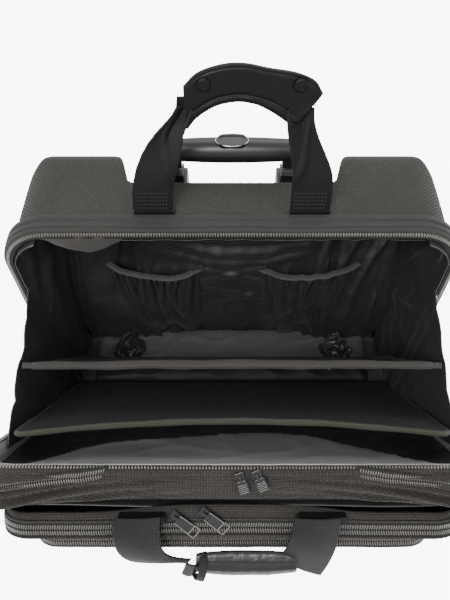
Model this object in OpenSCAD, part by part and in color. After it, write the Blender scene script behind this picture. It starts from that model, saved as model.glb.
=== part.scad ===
// Pilot's rolling flight case: a moulded rear shell on two wheels, with a front
// section that drops forward on a cloth hinge, two hinged dividers, carry handles
// and a two-stage trolley handle.
//
// Case frame: X across, Y to the rear, Z up from the floor. Y is zero where the
// main zip crosses the top of the closed case. The front section is drawn closed
// and then swung open, and placed() shifts everything to the part's own origin.

/* [Case] */
// Width of the moulded shell at its rim
case_w = 440; // [400:1:480]
// Height of the top of the shell above the floor
case_h = 346; // [300:1:400]
// Depth from the zip line back to the rear of the shell
rear_depth = 118; // [104:1:150]
// Depth of the trolley channel sunk into the rear of the shell
channel_depth = 48; // [40:1:56]
// Half width of the trolley channel at its floor
channel_half = 104; // [94:1:125]
// Thickness of the moulded shell
shell_wall = 4; // [3:0.5:6]
// Radius of the shell's top corners, seen from the front
corner_r = 45; // [30:1:60]
// Radius of the shell's top rear edge, seen from the side
rear_edge_r = 26; // [20:1:32]
// Radius of the shell's upright rear edges, seen from above
hump_r = 40; // [24:1:44]
// Narrowing of each side of the shell from the rim to the rear
side_draft = 9; // [0:1:14]
// Height of the shell's underside above the floor
ground_gap = 24; // [20:1:30]

/* [Opening] */
// Angle that the front section drops forward
open_angle = 38; // [20:1:42]
// Distance that the zip line runs forward from the top to the bottom of the sides
zip_lean = 36; // [20:1:40]
// Height at which the main zip ends on each side
zip_end_z = 258; // [220:1:280]
// Width of each cloth band that carries half of the main zip
band_w = 23; // [18:1:28]
// Thickness of the cloth bands
band_t = 6; // [4:0.5:8]
// Height of the cloth hinge above the floor
hinge_z = 34; // [32:1:40]

/* [Front section] */
// Depth of the front section at the top, from the zip to the front wall
front_top_depth = 29; // [26:1:36]
// Depth of the front section at the bottom, from the zip line's top
front_foot_depth = 46; // [42:1:56]
// Thickness of the front section's padded walls
front_wall = 2.5; // [2:0.5:5]
// Clear depth of the open organiser pocket
organiser_gap = 11; // [9:1:16]
// Depth of the zipped front pocket
pocket_depth = 27; // [20:1:34]
// Depth of the zipped front pocket at its foot
pocket_foot_depth = 14; // [8:1:20]
// Depth of the low outer pocket
low_pocket_depth = 8; // [5:1:12]
// Wall of the pockets
pocket_wall = 1.2; // [1:0.1:2]

/* [Dividers] */
// Thickness of the padded dividers
divider_t = 4; // [3:0.5:6]
// Height of the rear divider panel
rear_divider_h = 236; // [180:1:250]
// Height of the front divider panel
front_divider_h = 245; // [180:1:255]
// Lean of the rear divider when the case is open
rear_divider_lean = 26; // [10:1:28]
// Lean of the front divider when the case is open
front_divider_lean = 33; // [14:1:34]
// Diameter of the dividers' bound top edges
binding_d = 8; // [6:0.5:10]

/* [Inside] */
// Height of the padded floor's top above the floor that the case stands on
inner_floor_z = 44; // [42:1:50]
// Thickness of the lining
lining_t = 1.6; // [1:0.1:3]
// Width of each gathered back pocket
back_pocket_w = 106; // [80:1:112]
// Height of the gathered back pockets
back_pocket_h = 156; // [100:1:180]
// Depth of the gathered back pockets
back_pocket_depth = 20; // [12:1:26]

/* [Trolley] */
// Distance between the trolley tubes' centres
tube_spacing = 124; // [110:1:150]
// Width of the fixed outer tubes
tube_w = 24; // [22:1:28]
// Depth of the fixed outer tubes
tube_d = 16; // [15:1:18]
// Wall of every trolley tube
tube_wall = 1.2; // [1:0.1:1.5]
// Sliding gap between one tube and the next
tube_gap = 0.5; // [0.3:0.1:0.8]
// Travel of each trolley stage
stage_travel = 230; // [150:1:240]
// Diameter of the trolley grip at its middle
grip_d = 25; // [20:1:28]
// Height of the trolley grip's centre above the shell's top when pushed in
grip_rise = 19; // [17:1:30]
// Distance of the tubes' centres behind the channel's wall
tube_offset = 22; // [18:1:26]
// Travel of the release button
button_travel = 4; // [2:0.5:5]

/* [Wheels] */
// Diameter of the wheels
wheel_d = 68; // [60:1:72]
// Width of the wheels
wheel_w = 22; // [18:1:26]
// Distance of each wheel's middle from the case's middle
wheel_x = 172; // [164:1:178]
// Diameter of the axle bolts
axle_d = 8; // [6:0.5:9]
// Radial running clearance of wheels on their axles
axle_gap = 0.05; // [0.02:0.01:0.1]

/* [Carry handles] */
// Width of the webbing
web_w = 38; // [30:1:44]
// Thickness of the webbing
web_t = 2.2; // [1.5:0.1:3]
// Distance of each strap's middle from the case's middle
strap_x = 74; // [66:1:84]
// Length of the rear handle from its foot to the top of its grip
rear_handle_l = 133; // [115:1:150]
// Lean of the standing rear handle towards the back
rear_handle_lean = 18; // [5:1:19]
// Length of the front handle from its foot to the middle of its grip
front_handle_l = 46; // [42:1:66]
// Droop of the front handle when it rests on the pockets
front_handle_droop = 12; // [4:1:20]
// Length of the rear handle's leather grip
grip_l = 100; // [90:1:120]
// Height of the rear handle's leather grip at its middle
grip_h = 50; // [40:1:60]
// Rise of the rear grip's arch
grip_arch = 21; // [8:1:24]
// Diameter of the front handle's leather grip
front_grip_d = 16; // [12:1:18]
// Sideways shift of the rear grip from the case's middle
grip_shift = 16; // [0:1:20]

/* [Zips] */
// Width of a closed coil of the small zips
coil_w = 6; // [5:0.5:8]
// Height of a zip coil
coil_t = 2; // [1.5:0.1:3]
// Length of a slider body
slider_l = 11; // [9:0.5:13]
// Length of a zip pull
pull_l = 24; // [18:1:30]

/* [Hidden] */

eps = 0.01;
arc_steps = 8;
part_gap = 0.5;
big = 2 * case_w;

shell_half = case_w / 2;
band_half = shell_half + part_gap + band_t;
band_top = case_h + band_t;
rear_half = shell_half - side_draft;
channel_y = rear_depth - channel_depth;
channel_mouth = channel_half + 13;
foot_corner_r = 24;
inner_back_y = channel_y - shell_wall - part_gap;
hinge_y = -front_foot_depth;
zipped_back_y = -front_top_depth - organiser_gap;
zipped_front_y = zipped_back_y - pocket_depth;
low_front_y = zipped_front_y - part_gap - low_pocket_depth;
axle_y = rear_depth - wheel_d / 2 + 8;
axle_z = wheel_d / 2;
// Room beside the zip line for the teeth of each half
teeth_w = 2.4;
teeth_gap = 0.15;
rim_gap = teeth_w + teeth_gap + 0.3;
// Feet of the two handles' straps, as [y, z] on the closed case
anchor_t = 6;
rear_foot = [band_w + 1 + anchor_t / 2, case_h + band_t + 2.5];
front_foot = [zipped_back_y - 1 - anchor_t / 2, case_h + 10];
front_tip = [front_foot[0] - (front_handle_l + front_grip_d / 2) * cos(front_handle_droop),
             front_foot[1] - (front_handle_l + front_grip_d / 2) * sin(front_handle_droop)];

// ---- Points and solids of revolution used by several parts ----

function arc(cx, cy, r, from, to) =
    [for (i = [0:arc_steps]) let (a = from + (to - from) * i / arc_steps) [cx + r * cos(a),
        cy + r * sin(a)]];

// Y of the zip line at height z on the closed case
function zip_y(z) = -zip_lean * (case_h - z) / (case_h - hinge_z);

// Y of the front wall's outer face at height z on the closed case
function front_y(z) = -front_top_depth - (front_foot_depth - front_top_depth) * (case_h - z)
    / (case_h - hinge_z);

// Where a point of the closed front section lies once it is open, as [y, z]
function opened_yz(y, z) =
    let (dy = y - hinge_y, dz = z - hinge_z)
    [hinge_y + dy * cos(open_angle) - dz * sin(open_angle), hinge_z + dy * sin(open_angle)
        + dz * cos(open_angle)];

// Puts the origin under the middle of the open case, from its front handle to its wheels
case_shift = -(opened_yz(front_tip[0], front_tip[1])[0] + axle_y + wheel_d / 2) / 2;

module along_x(from, to) translate([from, 0, 0]) rotate([90, 0, 90]) linear_extrude(to - from) children();

module along_y(from, to) translate([0, to, 0]) rotate([90, 0, 0]) linear_extrude(to - from) children();

module both_sides() {
    children();
    mirror([1, 0, 0]) children();
}

module sided(side) {
    if (side < 0) mirror([1, 0, 0]) children();
    else children();
}

module placed() translate([0, case_shift, 0]) children();

module opened() translate([0, hinge_y, hinge_z]) rotate([open_angle, 0, 0]) translate([0, -hinge_y,
    -hinge_z]) children();

// ---- Outlines ----

// Front view of the case, shrunk by d
module front_outline(half, top, d, foot = ground_gap) {
    rt = corner_r + half - shell_half - d;
    rb = foot_corner_r - d;
    x = half - d;
    polygon(concat(
        arc(x - rt, top - d - rt, rt, 0, 90),
        arc(-x + rt, top - d - rt, rt, 90, 180),
        arc(-x + rb, foot + d + rb, rb, 180, 270),
        arc(x - rb, foot + d + rb, rb, 270, 360)));
}

// Side view of the rear shell, shrunk by d at the top, rear and underside
module side_outline(d) {
    r = rear_edge_r - d;
    y = rear_depth - d;
    top = case_h - d;
    foot = ground_gap + d;
    polygon(concat(
        [[zip_y(foot) + rim_gap, foot]],
        arc(y - foot_corner_r + d, foot + foot_corner_r - d, foot_corner_r - d, 270, 360),
        arc(y - r, top - r, r, 0, 90),
        [[zip_y(top) + rim_gap, top]]));
}

// Plan of the rear shell, shrunk by d, with the trolley channel
module plan_outline(d) {
    r = hump_r - d;
    x = rear_half - d;
    y = rear_depth - d;
    right = concat(
        [[shell_half - d, -2 * zip_lean]], [[shell_half - d, 0]],
        arc(x - r, y - r, r, 0, 90),
        [[channel_mouth + d, y], [channel_half + d, channel_y - d]]);
    left = [for (i = [len(right) - 1:-1:0]) [-right[i][0], right[i][1]]];
    polygon(concat(right, left));
}

module shell_form(d) intersection() {
    along_y(-2 * zip_lean, rear_depth + eps) front_outline(shell_half, case_h, d);
    along_x(-shell_half, shell_half) side_outline(d);
    linear_extrude(case_h + 1) plan_outline(d);
}

// ---- Rear shell and its fixed parts ----

housing_half = wheel_w / 2 + 12;
housing_front = rear_depth - 66;
housing_top = ground_gap + 58;

module housing_block(grow) translate([wheel_x - housing_half - grow, housing_front - grow, ground_gap - 20])
    cube([2 * housing_half + 2 * grow, rear_depth, housing_top - ground_gap + 20 + grow]);

module shell() color("#3b3a35") difference() {
    union() {
        difference() {
            shell_form(0);
            shell_form(shell_wall);
            // Opens the front along the leaning zip line
            along_x(-shell_half + shell_wall, shell_half - shell_wall)
                polygon([[zip_y(ground_gap) - 20, ground_gap + shell_wall], [0, ground_gap + shell_wall],
                         [10, case_h - shell_wall], [-40, case_h - shell_wall]]);
        }
        at_cover_posts() rotate([-90, 0, 0]) cylinder(d = 10, h = cover_y - channel_y + 1 - 0.2, $fn = 48);
    }
    both_sides() housing_block(part_gap);
    at_cover_posts() translate([0, 2, 0]) rotate([-90, 0, 0]) cylinder(d = screw_d + 0.1, h = 60, $fn = 32);
    at_bezel_screws() rotate([90, 0, 0]) cylinder(d = screw_d + 0.1, h = 30, center = true, $fn = 32);
}

module band_ring(half, top) difference() {
    front_outline(half, top, 0);
    front_outline(shell_half + part_gap, case_h + part_gap, 0);
}

module band(from, to) color("#45433d") intersection() {
    along_y(-2 * case_h, 2 * case_h) band_ring(band_half, band_top);
    along_x(-big, big) polygon([[zip_y(band_top) + from, band_top], [zip_y(zip_end_z) + from, zip_end_z],
                                [zip_y(zip_end_z) + to, zip_end_z], [zip_y(band_top) + to, band_top]]);
}

module teeth_row(from, to) color("#8d8b86") intersection() {
    along_y(-2 * case_h, 2 * case_h) difference() {
        front_outline(shell_half + part_gap, case_h + part_gap, 0.2);
        front_outline(shell_half + part_gap, case_h + part_gap, 3.2);
    }
    along_x(-big, big) polygon([[zip_y(band_top) + from, band_top], [zip_y(zip_end_z) + from, zip_end_z],
                                [zip_y(zip_end_z) + to, zip_end_z], [zip_y(band_top) + to, band_top]]);
}

module rear_zip_band() band(2 * teeth_gap, band_w);

module rear_zip_teeth() teeth_row(teeth_gap, teeth_gap + teeth_w);

// The two main sliders rest at the lower ends of the zip, with their pulls hanging
main_slider_x = shell_half + part_gap;

module main_sliders() color("#1c1c1c") both_sides()
    translate([main_slider_x, zip_y(zip_end_z) + 2, zip_end_z - slider_l - part_gap]) {
        cube([4.5, slider_w, slider_l]);
        translate([4.4, slider_w / 2 - 1.5, 2]) cube([2.4, 3, slider_l - 4]);
        translate([4.9, slider_w / 2 - 3, 2.2 - pull_l]) cube([1.8, 6, pull_l]);
    }

// From the shell's outside to the lining's inside
lining_inset = shell_wall + part_gap + lining_t;

module lining_plan(d) {
    r = 30 - d;
    x = rear_half - shell_wall - part_gap - d;
    y = inner_back_y - d;
    front_x = shell_half - shell_wall - part_gap - d;
    polygon(concat([[front_x, -2 * zip_lean]], [[front_x, 0]], arc(x - r, y - r, r, 0, 90),
                   arc(-x + r, y - r, r, 90, 180), [[-front_x, 0]], [[-front_x, -2 * zip_lean]]));
}

module lining_form(d) intersection() {
    along_y(-2 * zip_lean, rear_depth) front_outline(shell_half, case_h, shell_wall + part_gap + d);
    along_x(-shell_half, shell_half)
        polygon([[zip_y(ground_gap) + 4, ground_gap], [rear_depth, ground_gap],
                 [rear_depth, case_h], [zip_y(case_h) + 4, case_h]]);
    linear_extrude(case_h) lining_plan(d);
}

module lining() color("#1b1b1d") difference() {
    lining_form(0);
    lining_form(lining_t);
    along_x(-shell_half + lining_inset, shell_half - lining_inset)
        polygon([[-2 * zip_lean, ground_gap + lining_inset], [0, ground_gap + lining_inset],
                 [20, case_h - lining_inset], [-2 * zip_lean, case_h - lining_inset]]);
    both_sides() housing_block(2 * part_gap);
}

module floor_pad() color("#2b2927")
    difference() {
        translate([-shell_half + foot_corner_r, zip_y(ground_gap) + 12,
            ground_gap + lining_inset + part_gap])
            cube([case_w - 2 * foot_corner_r, inner_back_y - lining_t - 3 - zip_y(ground_gap) - 12,
                  inner_floor_z - ground_gap - lining_inset - part_gap]);
        both_sides() housing_block(4 * part_gap);
    }

back_pocket_x = 92;
back_pocket_z = inner_floor_z + 2;

module open_pocket(w, depth, h, wall) difference() {
    translate([-w / 2, -depth, 0]) cube([w, depth, h]);
    translate([-w / 2 + wall, -depth + wall, wall]) cube([w - 2 * wall, depth - 2 * wall, h]);
}

module back_pocket(side) color("#242325")
    translate([side * back_pocket_x, inner_back_y - lining_t - part_gap, back_pocket_z])
        open_pocket(back_pocket_w, back_pocket_depth, back_pocket_h, pocket_wall);

module back_pocket_centre() color("#1f1f22")
    translate([0, inner_back_y - lining_t - part_gap, back_pocket_z])
        open_pocket(2 * (back_pocket_x - back_pocket_w / 2) - 2, 8, back_pocket_h + 14, pocket_wall);

// Cloth strip that the front section hinges on, from the floor's edge to its foot
module cloth_hinge() color("#1a1a1a") along_x(-shell_half + foot_corner_r + 6,
    shell_half - foot_corner_r - 6)
    polygon([[zip_y(ground_gap) + rim_gap - 0.3, ground_gap + 0.3], [zip_y(ground_gap) + rim_gap - 0.3,
        ground_gap + 3],
             [hinge_y + 1, ground_gap + 3], [hinge_y + 1, hinge_z + 1.4], [hinge_y - 1.5, hinge_z + 1.4],
             [hinge_y - 1.5, ground_gap + 0.3]]);

// Cloth gusset: a sheet from the rear rim to the front rim, cut low in the middle
gusset_t = 1.4;
gusset_top_z = zip_end_z + 14;
gusset_sag = 22;
gusset_inset = max(shell_wall, front_wall) + 2;

module gusset() color("#171719") {
    foot = [hinge_y + 3, hinge_z + 14];
    rear_top = [zip_y(gusset_top_z) - 1, gusset_top_z];
    front_top = opened_yz(zip_y(gusset_top_z) + 1, gusset_top_z);
    front_foot = opened_yz(zip_y(hinge_z + 24) + 1, hinge_z + 24);
    middle = [(rear_top[0] + front_top[0]) / 2, (rear_top[1] + front_top[1]) / 2 - gusset_sag];
    x = shell_half - gusset_inset;
    along_x(x - gusset_t, x)
        polygon([foot, [zip_y(hinge_z + 20) - 1, hinge_z + 20], rear_top, middle, front_top, front_foot]);
}

// ---- Trolley ----

tube_x = tube_spacing / 2;
tube_y = channel_y + tube_offset;
tube_foot_z = ground_gap + shell_wall + 20;
tube_top_z = case_h - 22;
step = tube_wall + tube_gap;
mid_w = tube_w - 2 * step;
mid_d = tube_d - 2 * step;
inner_w = mid_w - 2 * step;
inner_d = mid_d - 2 * step;
collar_h = 7;

module tube(w, d, from, to) translate([0, 0, from]) difference() {
    translate([-w / 2, -d / 2, 0]) cube([w, d, to - from]);
    translate([-w / 2 + tube_wall, -d / 2 + tube_wall, -eps]) cube([w - 2 * tube_wall,
        d - 2 * tube_wall, to - from + 2 * eps]);
}

module at_tubes() both_sides() translate([tube_x, tube_y, 0]) children();

module outer_tubes() color("#2a2a2c") at_tubes() tube(tube_w, tube_d, tube_foot_z + 3, tube_top_z);

module tube_foot() color("#1d1d1f") difference() {
    translate([-tube_x - 20, channel_y + 0.2, tube_foot_z - 10])
        cube([2 * tube_x + 40, cover_y - channel_y - 0.6, 30]);
    at_tubes() translate([-tube_w / 2 - 0.2, -tube_d / 2 - 0.2, tube_foot_z + 3 - 0.2])
        cube([tube_w + 0.4, tube_d + 0.4, 60]);
}

bezel_h = 30;
bezel_plate = 4;
bezel_rim = 3.5;

module handle_bezel() color("#1d1d1f") difference() {
    union() {
        at_tubes() translate([-tube_w / 2 - bezel_rim, -tube_offset + 0.2, tube_top_z - bezel_h])
            cube([tube_w + 2 * bezel_rim, tube_offset - 0.2 + tube_d / 2 + bezel_rim, bezel_h + 4]);
        translate([-tube_x - tube_w / 2 - 14, channel_y + 0.2, tube_top_z - bezel_h])
            cube([2 * tube_x + tube_w + 28, bezel_plate, bezel_h - 6]);
    }
    at_tubes() translate([-tube_w / 2 - 0.2, -tube_d / 2 - 0.2, tube_top_z - bezel_h - eps])
        cube([tube_w + 0.4, tube_d + 0.4, bezel_h + 0.2 + eps]);
    at_tubes() translate([-mid_w / 2 - 0.6, -mid_d / 2 - 0.6, tube_top_z - 5]) cube([mid_w + 1.2,
        mid_d + 1.2, 30]);
    at_bezel_screws() rotate([90, 0, 0]) cylinder(d = screw_d + 0.4, h = 30, center = true, $fn = 32);
}

screw_d = 4;
screw_l = 7.8;
screw_head_d = 8;

module at_bezel_screws() for (x = [-0.55 * tube_x, 0.55 * tube_x])
    translate([x, channel_y + 0.2 + bezel_plate, tube_top_z - bezel_h + 12]) children();

cover_foot_z = ground_gap + 34;
cover_top_z = case_h - 72;
cover_y = rear_depth - 8;
cover_t = 3;
// The channel's half width where the cover closes it
cover_half = channel_half + (channel_mouth - channel_half) * (cover_y - channel_y) / channel_depth - 0.5;
post_x = tube_x + tube_w / 2 + 14;

module at_cover_xz(y) for (x = [-post_x, post_x], z = [cover_foot_z + 16, cover_top_z - 16])
    translate([x, y, z]) children();

module at_cover_posts() at_cover_xz(channel_y - 1) children();

module at_cover_screws() at_cover_xz(cover_y + cover_t) children();

module back_cover() color("#33322e") difference() {
    along_y(cover_y, cover_y + cover_t) {
        r = 12;
        x = cover_half;
        polygon(concat(arc(x - r, cover_top_z - r, r, 0, 90), arc(-x + r, cover_top_z - r, r, 90, 180),
                       arc(-x + r, cover_foot_z + r, r, 180, 270), arc(x - r, cover_foot_z + r, r, 270,
                           360)));
    }
    at_cover_screws() rotate([90, 0, 0]) cylinder(d = screw_d + 0.4, h = 20, center = true, $fn = 32);
}

module screw() rotate([90, 0, 0]) difference() {
    union() {
        cylinder(d = screw_d, h = screw_l, $fn = 32);
        translate([0, 0, -2.2]) cylinder(d1 = screw_head_d - 1, d2 = screw_head_d, h = 2.2, $fn = 32);
    }
    for (a = [0, 90]) rotate([0, 0, a]) translate([-screw_head_d / 3, -0.5, -2.3])
        cube([2 * screw_head_d / 3, 1, 1.1]);
}

module trolley_screws() color("#77777a") {
    at_bezel_screws() translate([0, 0.05, 0]) screw();
    at_cover_screws() translate([0, 0.05, 0]) screw();
}

module middle_tubes() color("#8f9194") at_tubes() tube(mid_w, mid_d, tube_foot_z + 12, tube_top_z + 6);

module middle_collars() color("#1d1d1f") at_tubes() translate([0, 0, tube_top_z + 6 + 0.2]) difference() {
    translate([-mid_w / 2 - 2, -mid_d / 2 - 2, 0]) cube([mid_w + 4, mid_d + 4, collar_h]);
    translate([-inner_w / 2 - tube_gap, -inner_d / 2 - tube_gap, -eps]) cube([inner_w + 2 * tube_gap,
        inner_d + 2 * tube_gap, collar_h + 1]);
}

grip_z = case_h + grip_rise;
grip_end_x = tube_x + 15;
inner_top_z = grip_z - grip_d / 2 + 3;

module inner_tubes() color("#a9abae") at_tubes() tube(inner_w, inner_d, tube_foot_z + 22, inner_top_z);

module inner_plugs() color("#1d1d1f") at_tubes() translate([0, 0, tube_foot_z + 22]) {
    translate([-inner_w / 2, -inner_d / 2, -6]) cube([inner_w, inner_d, 6 - 0.1]);
    difference() {
        translate([-inner_w / 2 + tube_wall + 0.15, -inner_d / 2 + tube_wall + 0.15, -1])
            cube([inner_w - 2 * tube_wall - 0.3, inner_d - 2 * tube_wall - 0.3, 15]);
        translate([0, 0, 2]) cylinder(d = 3.6, h = 20, $fn = 24);
    }
}

button_len = 30;
button_wid = 15;
button_foot = 4.5;
yoke_t = 3.2;
spring_well = 10;

module button_form(grow, h) linear_extrude(h) {
    for (s = [-1, 1]) translate([s * (button_len - button_wid) / 2, 0])
        circle(d = button_wid + 2 * grow, $fn = 48);
    square([button_len - button_wid, button_wid + 2 * grow], center = true);
}

module at_grip() translate([0, tube_y, grip_z]) children();

// Barrel-shaped bar on two short legs that hold the inner tubes
module trolley_grip() color("#232324") at_grip() difference() {
    union() {
        rotate([0, 90, 0]) rotate_extrude($fn = 64) polygon(concat(
            [[0, -grip_end_x], [grip_d / 2 - 6, -grip_end_x]],
            [for (i = [0:10]) let (t = i / 10) [grip_d / 2 - 3 * pow(2 * t - 1, 2), (grip_end_x - 3)
                * (2 * t - 1)]],
            [[grip_d / 2 - 6, grip_end_x], [0, grip_end_x]]));
        both_sides() translate([tube_x - inner_w / 2 - 3, -inner_d / 2 - 3, -grip_d / 2 - 5])
            cube([inner_w + 6, inner_d + 6, grip_d / 2 + 5]);
    }
    both_sides() translate([tube_x - inner_w / 2 - 0.1, -inner_d / 2 - 0.1, -grip_d])
        cube([inner_w + 0.2, inner_d + 0.2, grip_d / 2 + 3.2]);
    // Well for the button, slot for the yoke, well for the spring and holes for the rods
    translate([0, 0, button_foot - button_travel - 0.4]) button_form(0.4, 30);
    translate([-tube_x - 3, -2.5, -yoke_t / 2 - button_travel - 0.4]) cube([2 * tube_x + 6, 5,
        yoke_t + button_travel + 0.8]);
    translate([0, 0, -spring_well]) cylinder(d = 8, h = spring_well + button_foot, $fn = 32);
    both_sides() translate([tube_x, 0, -grip_d]) cylinder(d = 5, h = grip_d, $fn = 24);
}

module release_button() color("#3a3a3c") at_grip() translate([0, 0, button_foot]) difference() {
    button_form(0, grip_d / 2 + 1.5 - button_foot);
    translate([0, 0, grip_d / 2 + 0.7 - button_foot]) button_form(-2.2, 2);
}

// The yoke under the button pushes both rods down inside the inner tubes
module release_rods() color("#9b9da0") at_grip() {
    translate([-tube_x - 1.6, -1.6, -yoke_t / 2]) cube([2 * tube_x + 3.2, 3.2, yoke_t]);
    cylinder(d = 7, h = button_foot - 0.02, $fn = 32);
    both_sides() translate([tube_x, 0, tube_foot_z + 34 - grip_z]) cylinder(d = 3,
        h = grip_z - tube_foot_z - 34, $fn = 24);
}

module button_spring() color("#b8b8ba") at_grip() translate([0, 0, 0.1 - spring_well]) difference() {
    cylinder(d = 6.4, h = spring_well - 0.2 - yoke_t / 2, $fn = 32);
    translate([0, 0, -1]) cylinder(d = 4.6, h = 20, $fn = 32);
}

// ---- Wheels ----

module at_wheel() translate([wheel_x, axle_y, axle_z]) children();

module wheel_housings() color("#1a1a1b") both_sides() difference() {
    intersection() {
        translate([wheel_x - housing_half, housing_front, ground_gap - 6])
            cube([2 * housing_half, rear_depth - housing_front + 2,
                housing_top - ground_gap + 6 - part_gap]);
        along_x(0, case_w) polygon([[housing_front, ground_gap + 10], [housing_front + 14, ground_gap - 6],
            [rear_depth + 2, ground_gap - 6], [rear_depth + 2, housing_top], [housing_front, housing_top]]);
        linear_extrude(case_h) plan_outline(-1.5);
    }
    at_wheel() rotate([0, 90, 0]) cylinder(d = wheel_d + 8, h = wheel_w + 6, center = true, $fn = 96);
    translate([wheel_x - wheel_w / 2 - 3, axle_y, -eps]) cube([wheel_w + 6, wheel_d,
        axle_z + wheel_d / 2 + 3]);
    at_wheel() rotate([0, 90, 0]) cylinder(d = axle_d + 0.1, h = 100, center = true, $fn = 48);
    at_wheel() both_heads() cylinder(d = axle_d + 7, h = 20, $fn = 48);
}

// Where the axle bolt's head and nut sit in the housing's cheeks
module both_heads() for (s = [-1, 1]) rotate([0, s * 90, 0]) translate([0, 0, housing_half - 4]) children();

module axles() color("#8a8c8f") both_sides() at_wheel() {
    rotate([0, 90, 0]) cylinder(d = axle_d, h = 2 * housing_half - 8, center = true, $fn = 48);
    both_heads() difference() {
        cylinder(d = axle_d + 5, h = 3.4, $fn = 48);
        translate([0, 0, 1.6]) cylinder(d = 4.6, h = 3, $fn = 6);
    }
}

bearing_w = 6;
bearing_d = 20;
rim_r = wheel_d / 2 - 7;

module hub(side) color("#2c2d30") sided(side) at_wheel() rotate([0, 90, 0]) difference() {
    rotate_extrude($fn = 96) polygon([[axle_d / 2 + 1, -3], [bearing_d / 2, -3], [bearing_d / 2,
        -wheel_w / 2 + 2],
        [bearing_d / 2 + 4, -wheel_w / 2 + 2], [bearing_d / 2 + 4, -4], [rim_r - 3, -4], [rim_r - 3,
            -wheel_w / 2 + 2],
        [rim_r, -wheel_w / 2 + 2], [rim_r, wheel_w / 2 - 2], [rim_r - 3, wheel_w / 2 - 2], [rim_r - 3, 4],
        [bearing_d / 2 + 4, 4], [bearing_d / 2 + 4, wheel_w / 2 - 2], [bearing_d / 2, wheel_w / 2 - 2],
        [bearing_d / 2, 3], [axle_d / 2 + 1, 3]]);
    for (a = [0:72:359]) rotate([0, 0, a]) translate([(bearing_d / 2 + 1 + rim_r) / 2, 0, -50])
        cylinder(d = 6, h = 100, $fn = 32);
}

module tyre(side) color("#161616") sided(side) at_wheel() rotate([0, 90, 0])
    rotate_extrude($fn = 96) {
        r = 5;
        inner = rim_r + 0.02;
        polygon(concat([[inner, -wheel_w / 2 + 1]], arc(wheel_d / 2 - r, -wheel_w / 2 + r, r, 270, 360),
                       arc(wheel_d / 2 - r, wheel_w / 2 - r, r, 0, 90), [[inner, wheel_w / 2 - 1]]));
    }

module bearings(side) color("#a4a6a9") sided(side) at_wheel() both_bearings() difference() {
    cylinder(d = bearing_d - 0.04, h = bearing_w, $fn = 64);
    translate([0, 0, -1]) cylinder(d = axle_d + 2 * axle_gap, h = bearing_w + 2, $fn = 64);
}

module both_bearings() for (s = [-1, 1]) rotate([0, s * 90, 0]) translate([0, 0, 3.1]) children();

foot_w = 60;
foot_l = 26;

// Two rubber feet under the front edge of the shell's floor
module front_feet() color("#141414") both_sides()
    translate([shell_half - 92, zip_y(ground_gap) + rim_gap + 2, 0]) difference() {
        along_z_feet();
        translate([foot_w / 2, foot_l / 2, -eps]) cylinder(d = 12, h = 6, $fn = 48);
    }

module along_z_feet() linear_extrude(ground_gap - 0.1) {
    r = 6;
    polygon(concat(arc(foot_w - r, foot_l - r, r, 0, 90), arc(r, foot_l - r, r, 90, 180), arc(r, r, r,
        180, 270), arc(foot_w - r, r, r, 270, 360)));
}

// ---- Dividers ----

rear_divider_y = 10;
front_divider_y = -20;
divider_foot_z = inner_floor_z + 3;

module leaning(y, lean) translate([0, y, divider_foot_z]) rotate([lean, 0, 0]) children();

module divider_panel(w, h) translate([-w / 2, -divider_t / 2, 0]) cube([w, divider_t, h - binding_d / 2]);

module divider_edge(w, h) difference() {
    translate([0, 0, h - binding_d / 2]) rotate([0, 90, 0]) cylinder(d = binding_d, h = w + 4,
        center = true, $fn = 32);
    translate([-w / 2 - 0.1, -divider_t / 2 - 0.1, h - binding_d - 1]) cube([w + 0.2, divider_t + 0.2,
        binding_d / 2 + 1 + 0.1]);
}

divider_w = case_w - 36;

module rear_divider() color("#1d1d1f") leaning(rear_divider_y, rear_divider_lean)
    divider_panel(divider_w, rear_divider_h);

module rear_divider_edge() color("#4a4744") leaning(rear_divider_y, rear_divider_lean)
    divider_edge(divider_w, rear_divider_h);

module front_divider() color("#1d1d1f") leaning(front_divider_y, front_divider_lean)
    divider_panel(divider_w + 6, front_divider_h);

module front_divider_edge() color("#4a4744") leaning(front_divider_y, front_divider_lean)
    divider_edge(divider_w + 6, front_divider_h);

// ---- Rear carry handle ----

module rear_handle_frame() translate([0, rear_foot[0], rear_foot[1]]) rotate([-rear_handle_lean, 0, 0])
    children();

// Sewn feet under the rear handle's straps
module rear_strap_anchors() color("#1f1e22") both_sides()
    translate([strap_x - web_w / 2, rear_foot[0] - anchor_t / 2, case_h + 0.3]) cube([web_w, anchor_t,
        band_t + 0.6]);

// A flat strap that narrows as it folds into the end of the grip
module rear_strap(side) color("#26252a") rear_handle_frame() {
    reach = rear_handle_l - grip_h;
    turn = reach * 0.35;
    x0 = side * strap_x;
    x1 = side * (grip_l / 2 - 9) + grip_shift;
    hull() {
        translate([x0 - web_w / 2, -web_t / 2, 0]) cube([web_w, web_t, 1]);
        translate([x0 - web_w / 2, -web_t / 2, turn]) cube([web_w, web_t, 1]);
    }
    hull() {
        translate([x0 - web_w / 2, -web_t / 2, turn]) cube([web_w, web_t, 1]);
        translate([x1 - 7, -web_t, reach - 1.2]) cube([14, 2 * web_t, 1]);
    }
}

function grip_bow(t) = grip_arch * (1 - pow(2 * t - 1, 2));

// Leather wrap: an arched pad closed over both straps
module rear_grip() color("#1b1b1e") rear_handle_frame() translate([grip_shift, 5,
    rear_handle_l - grip_h]) rotate([90, 0, 0])
    linear_extrude(10) polygon(concat(
        [for (i = [0:10]) [grip_l * (i / 10 - 0.5), grip_bow(i / 10)]],
        [for (i = [10:-1:0]) [(grip_l + 12) * (i / 10 - 0.5),
            grip_h - 0.75 * grip_arch + 0.75 * grip_bow(i / 10)]]));

snap_x = grip_l / 2 - 11;

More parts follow.
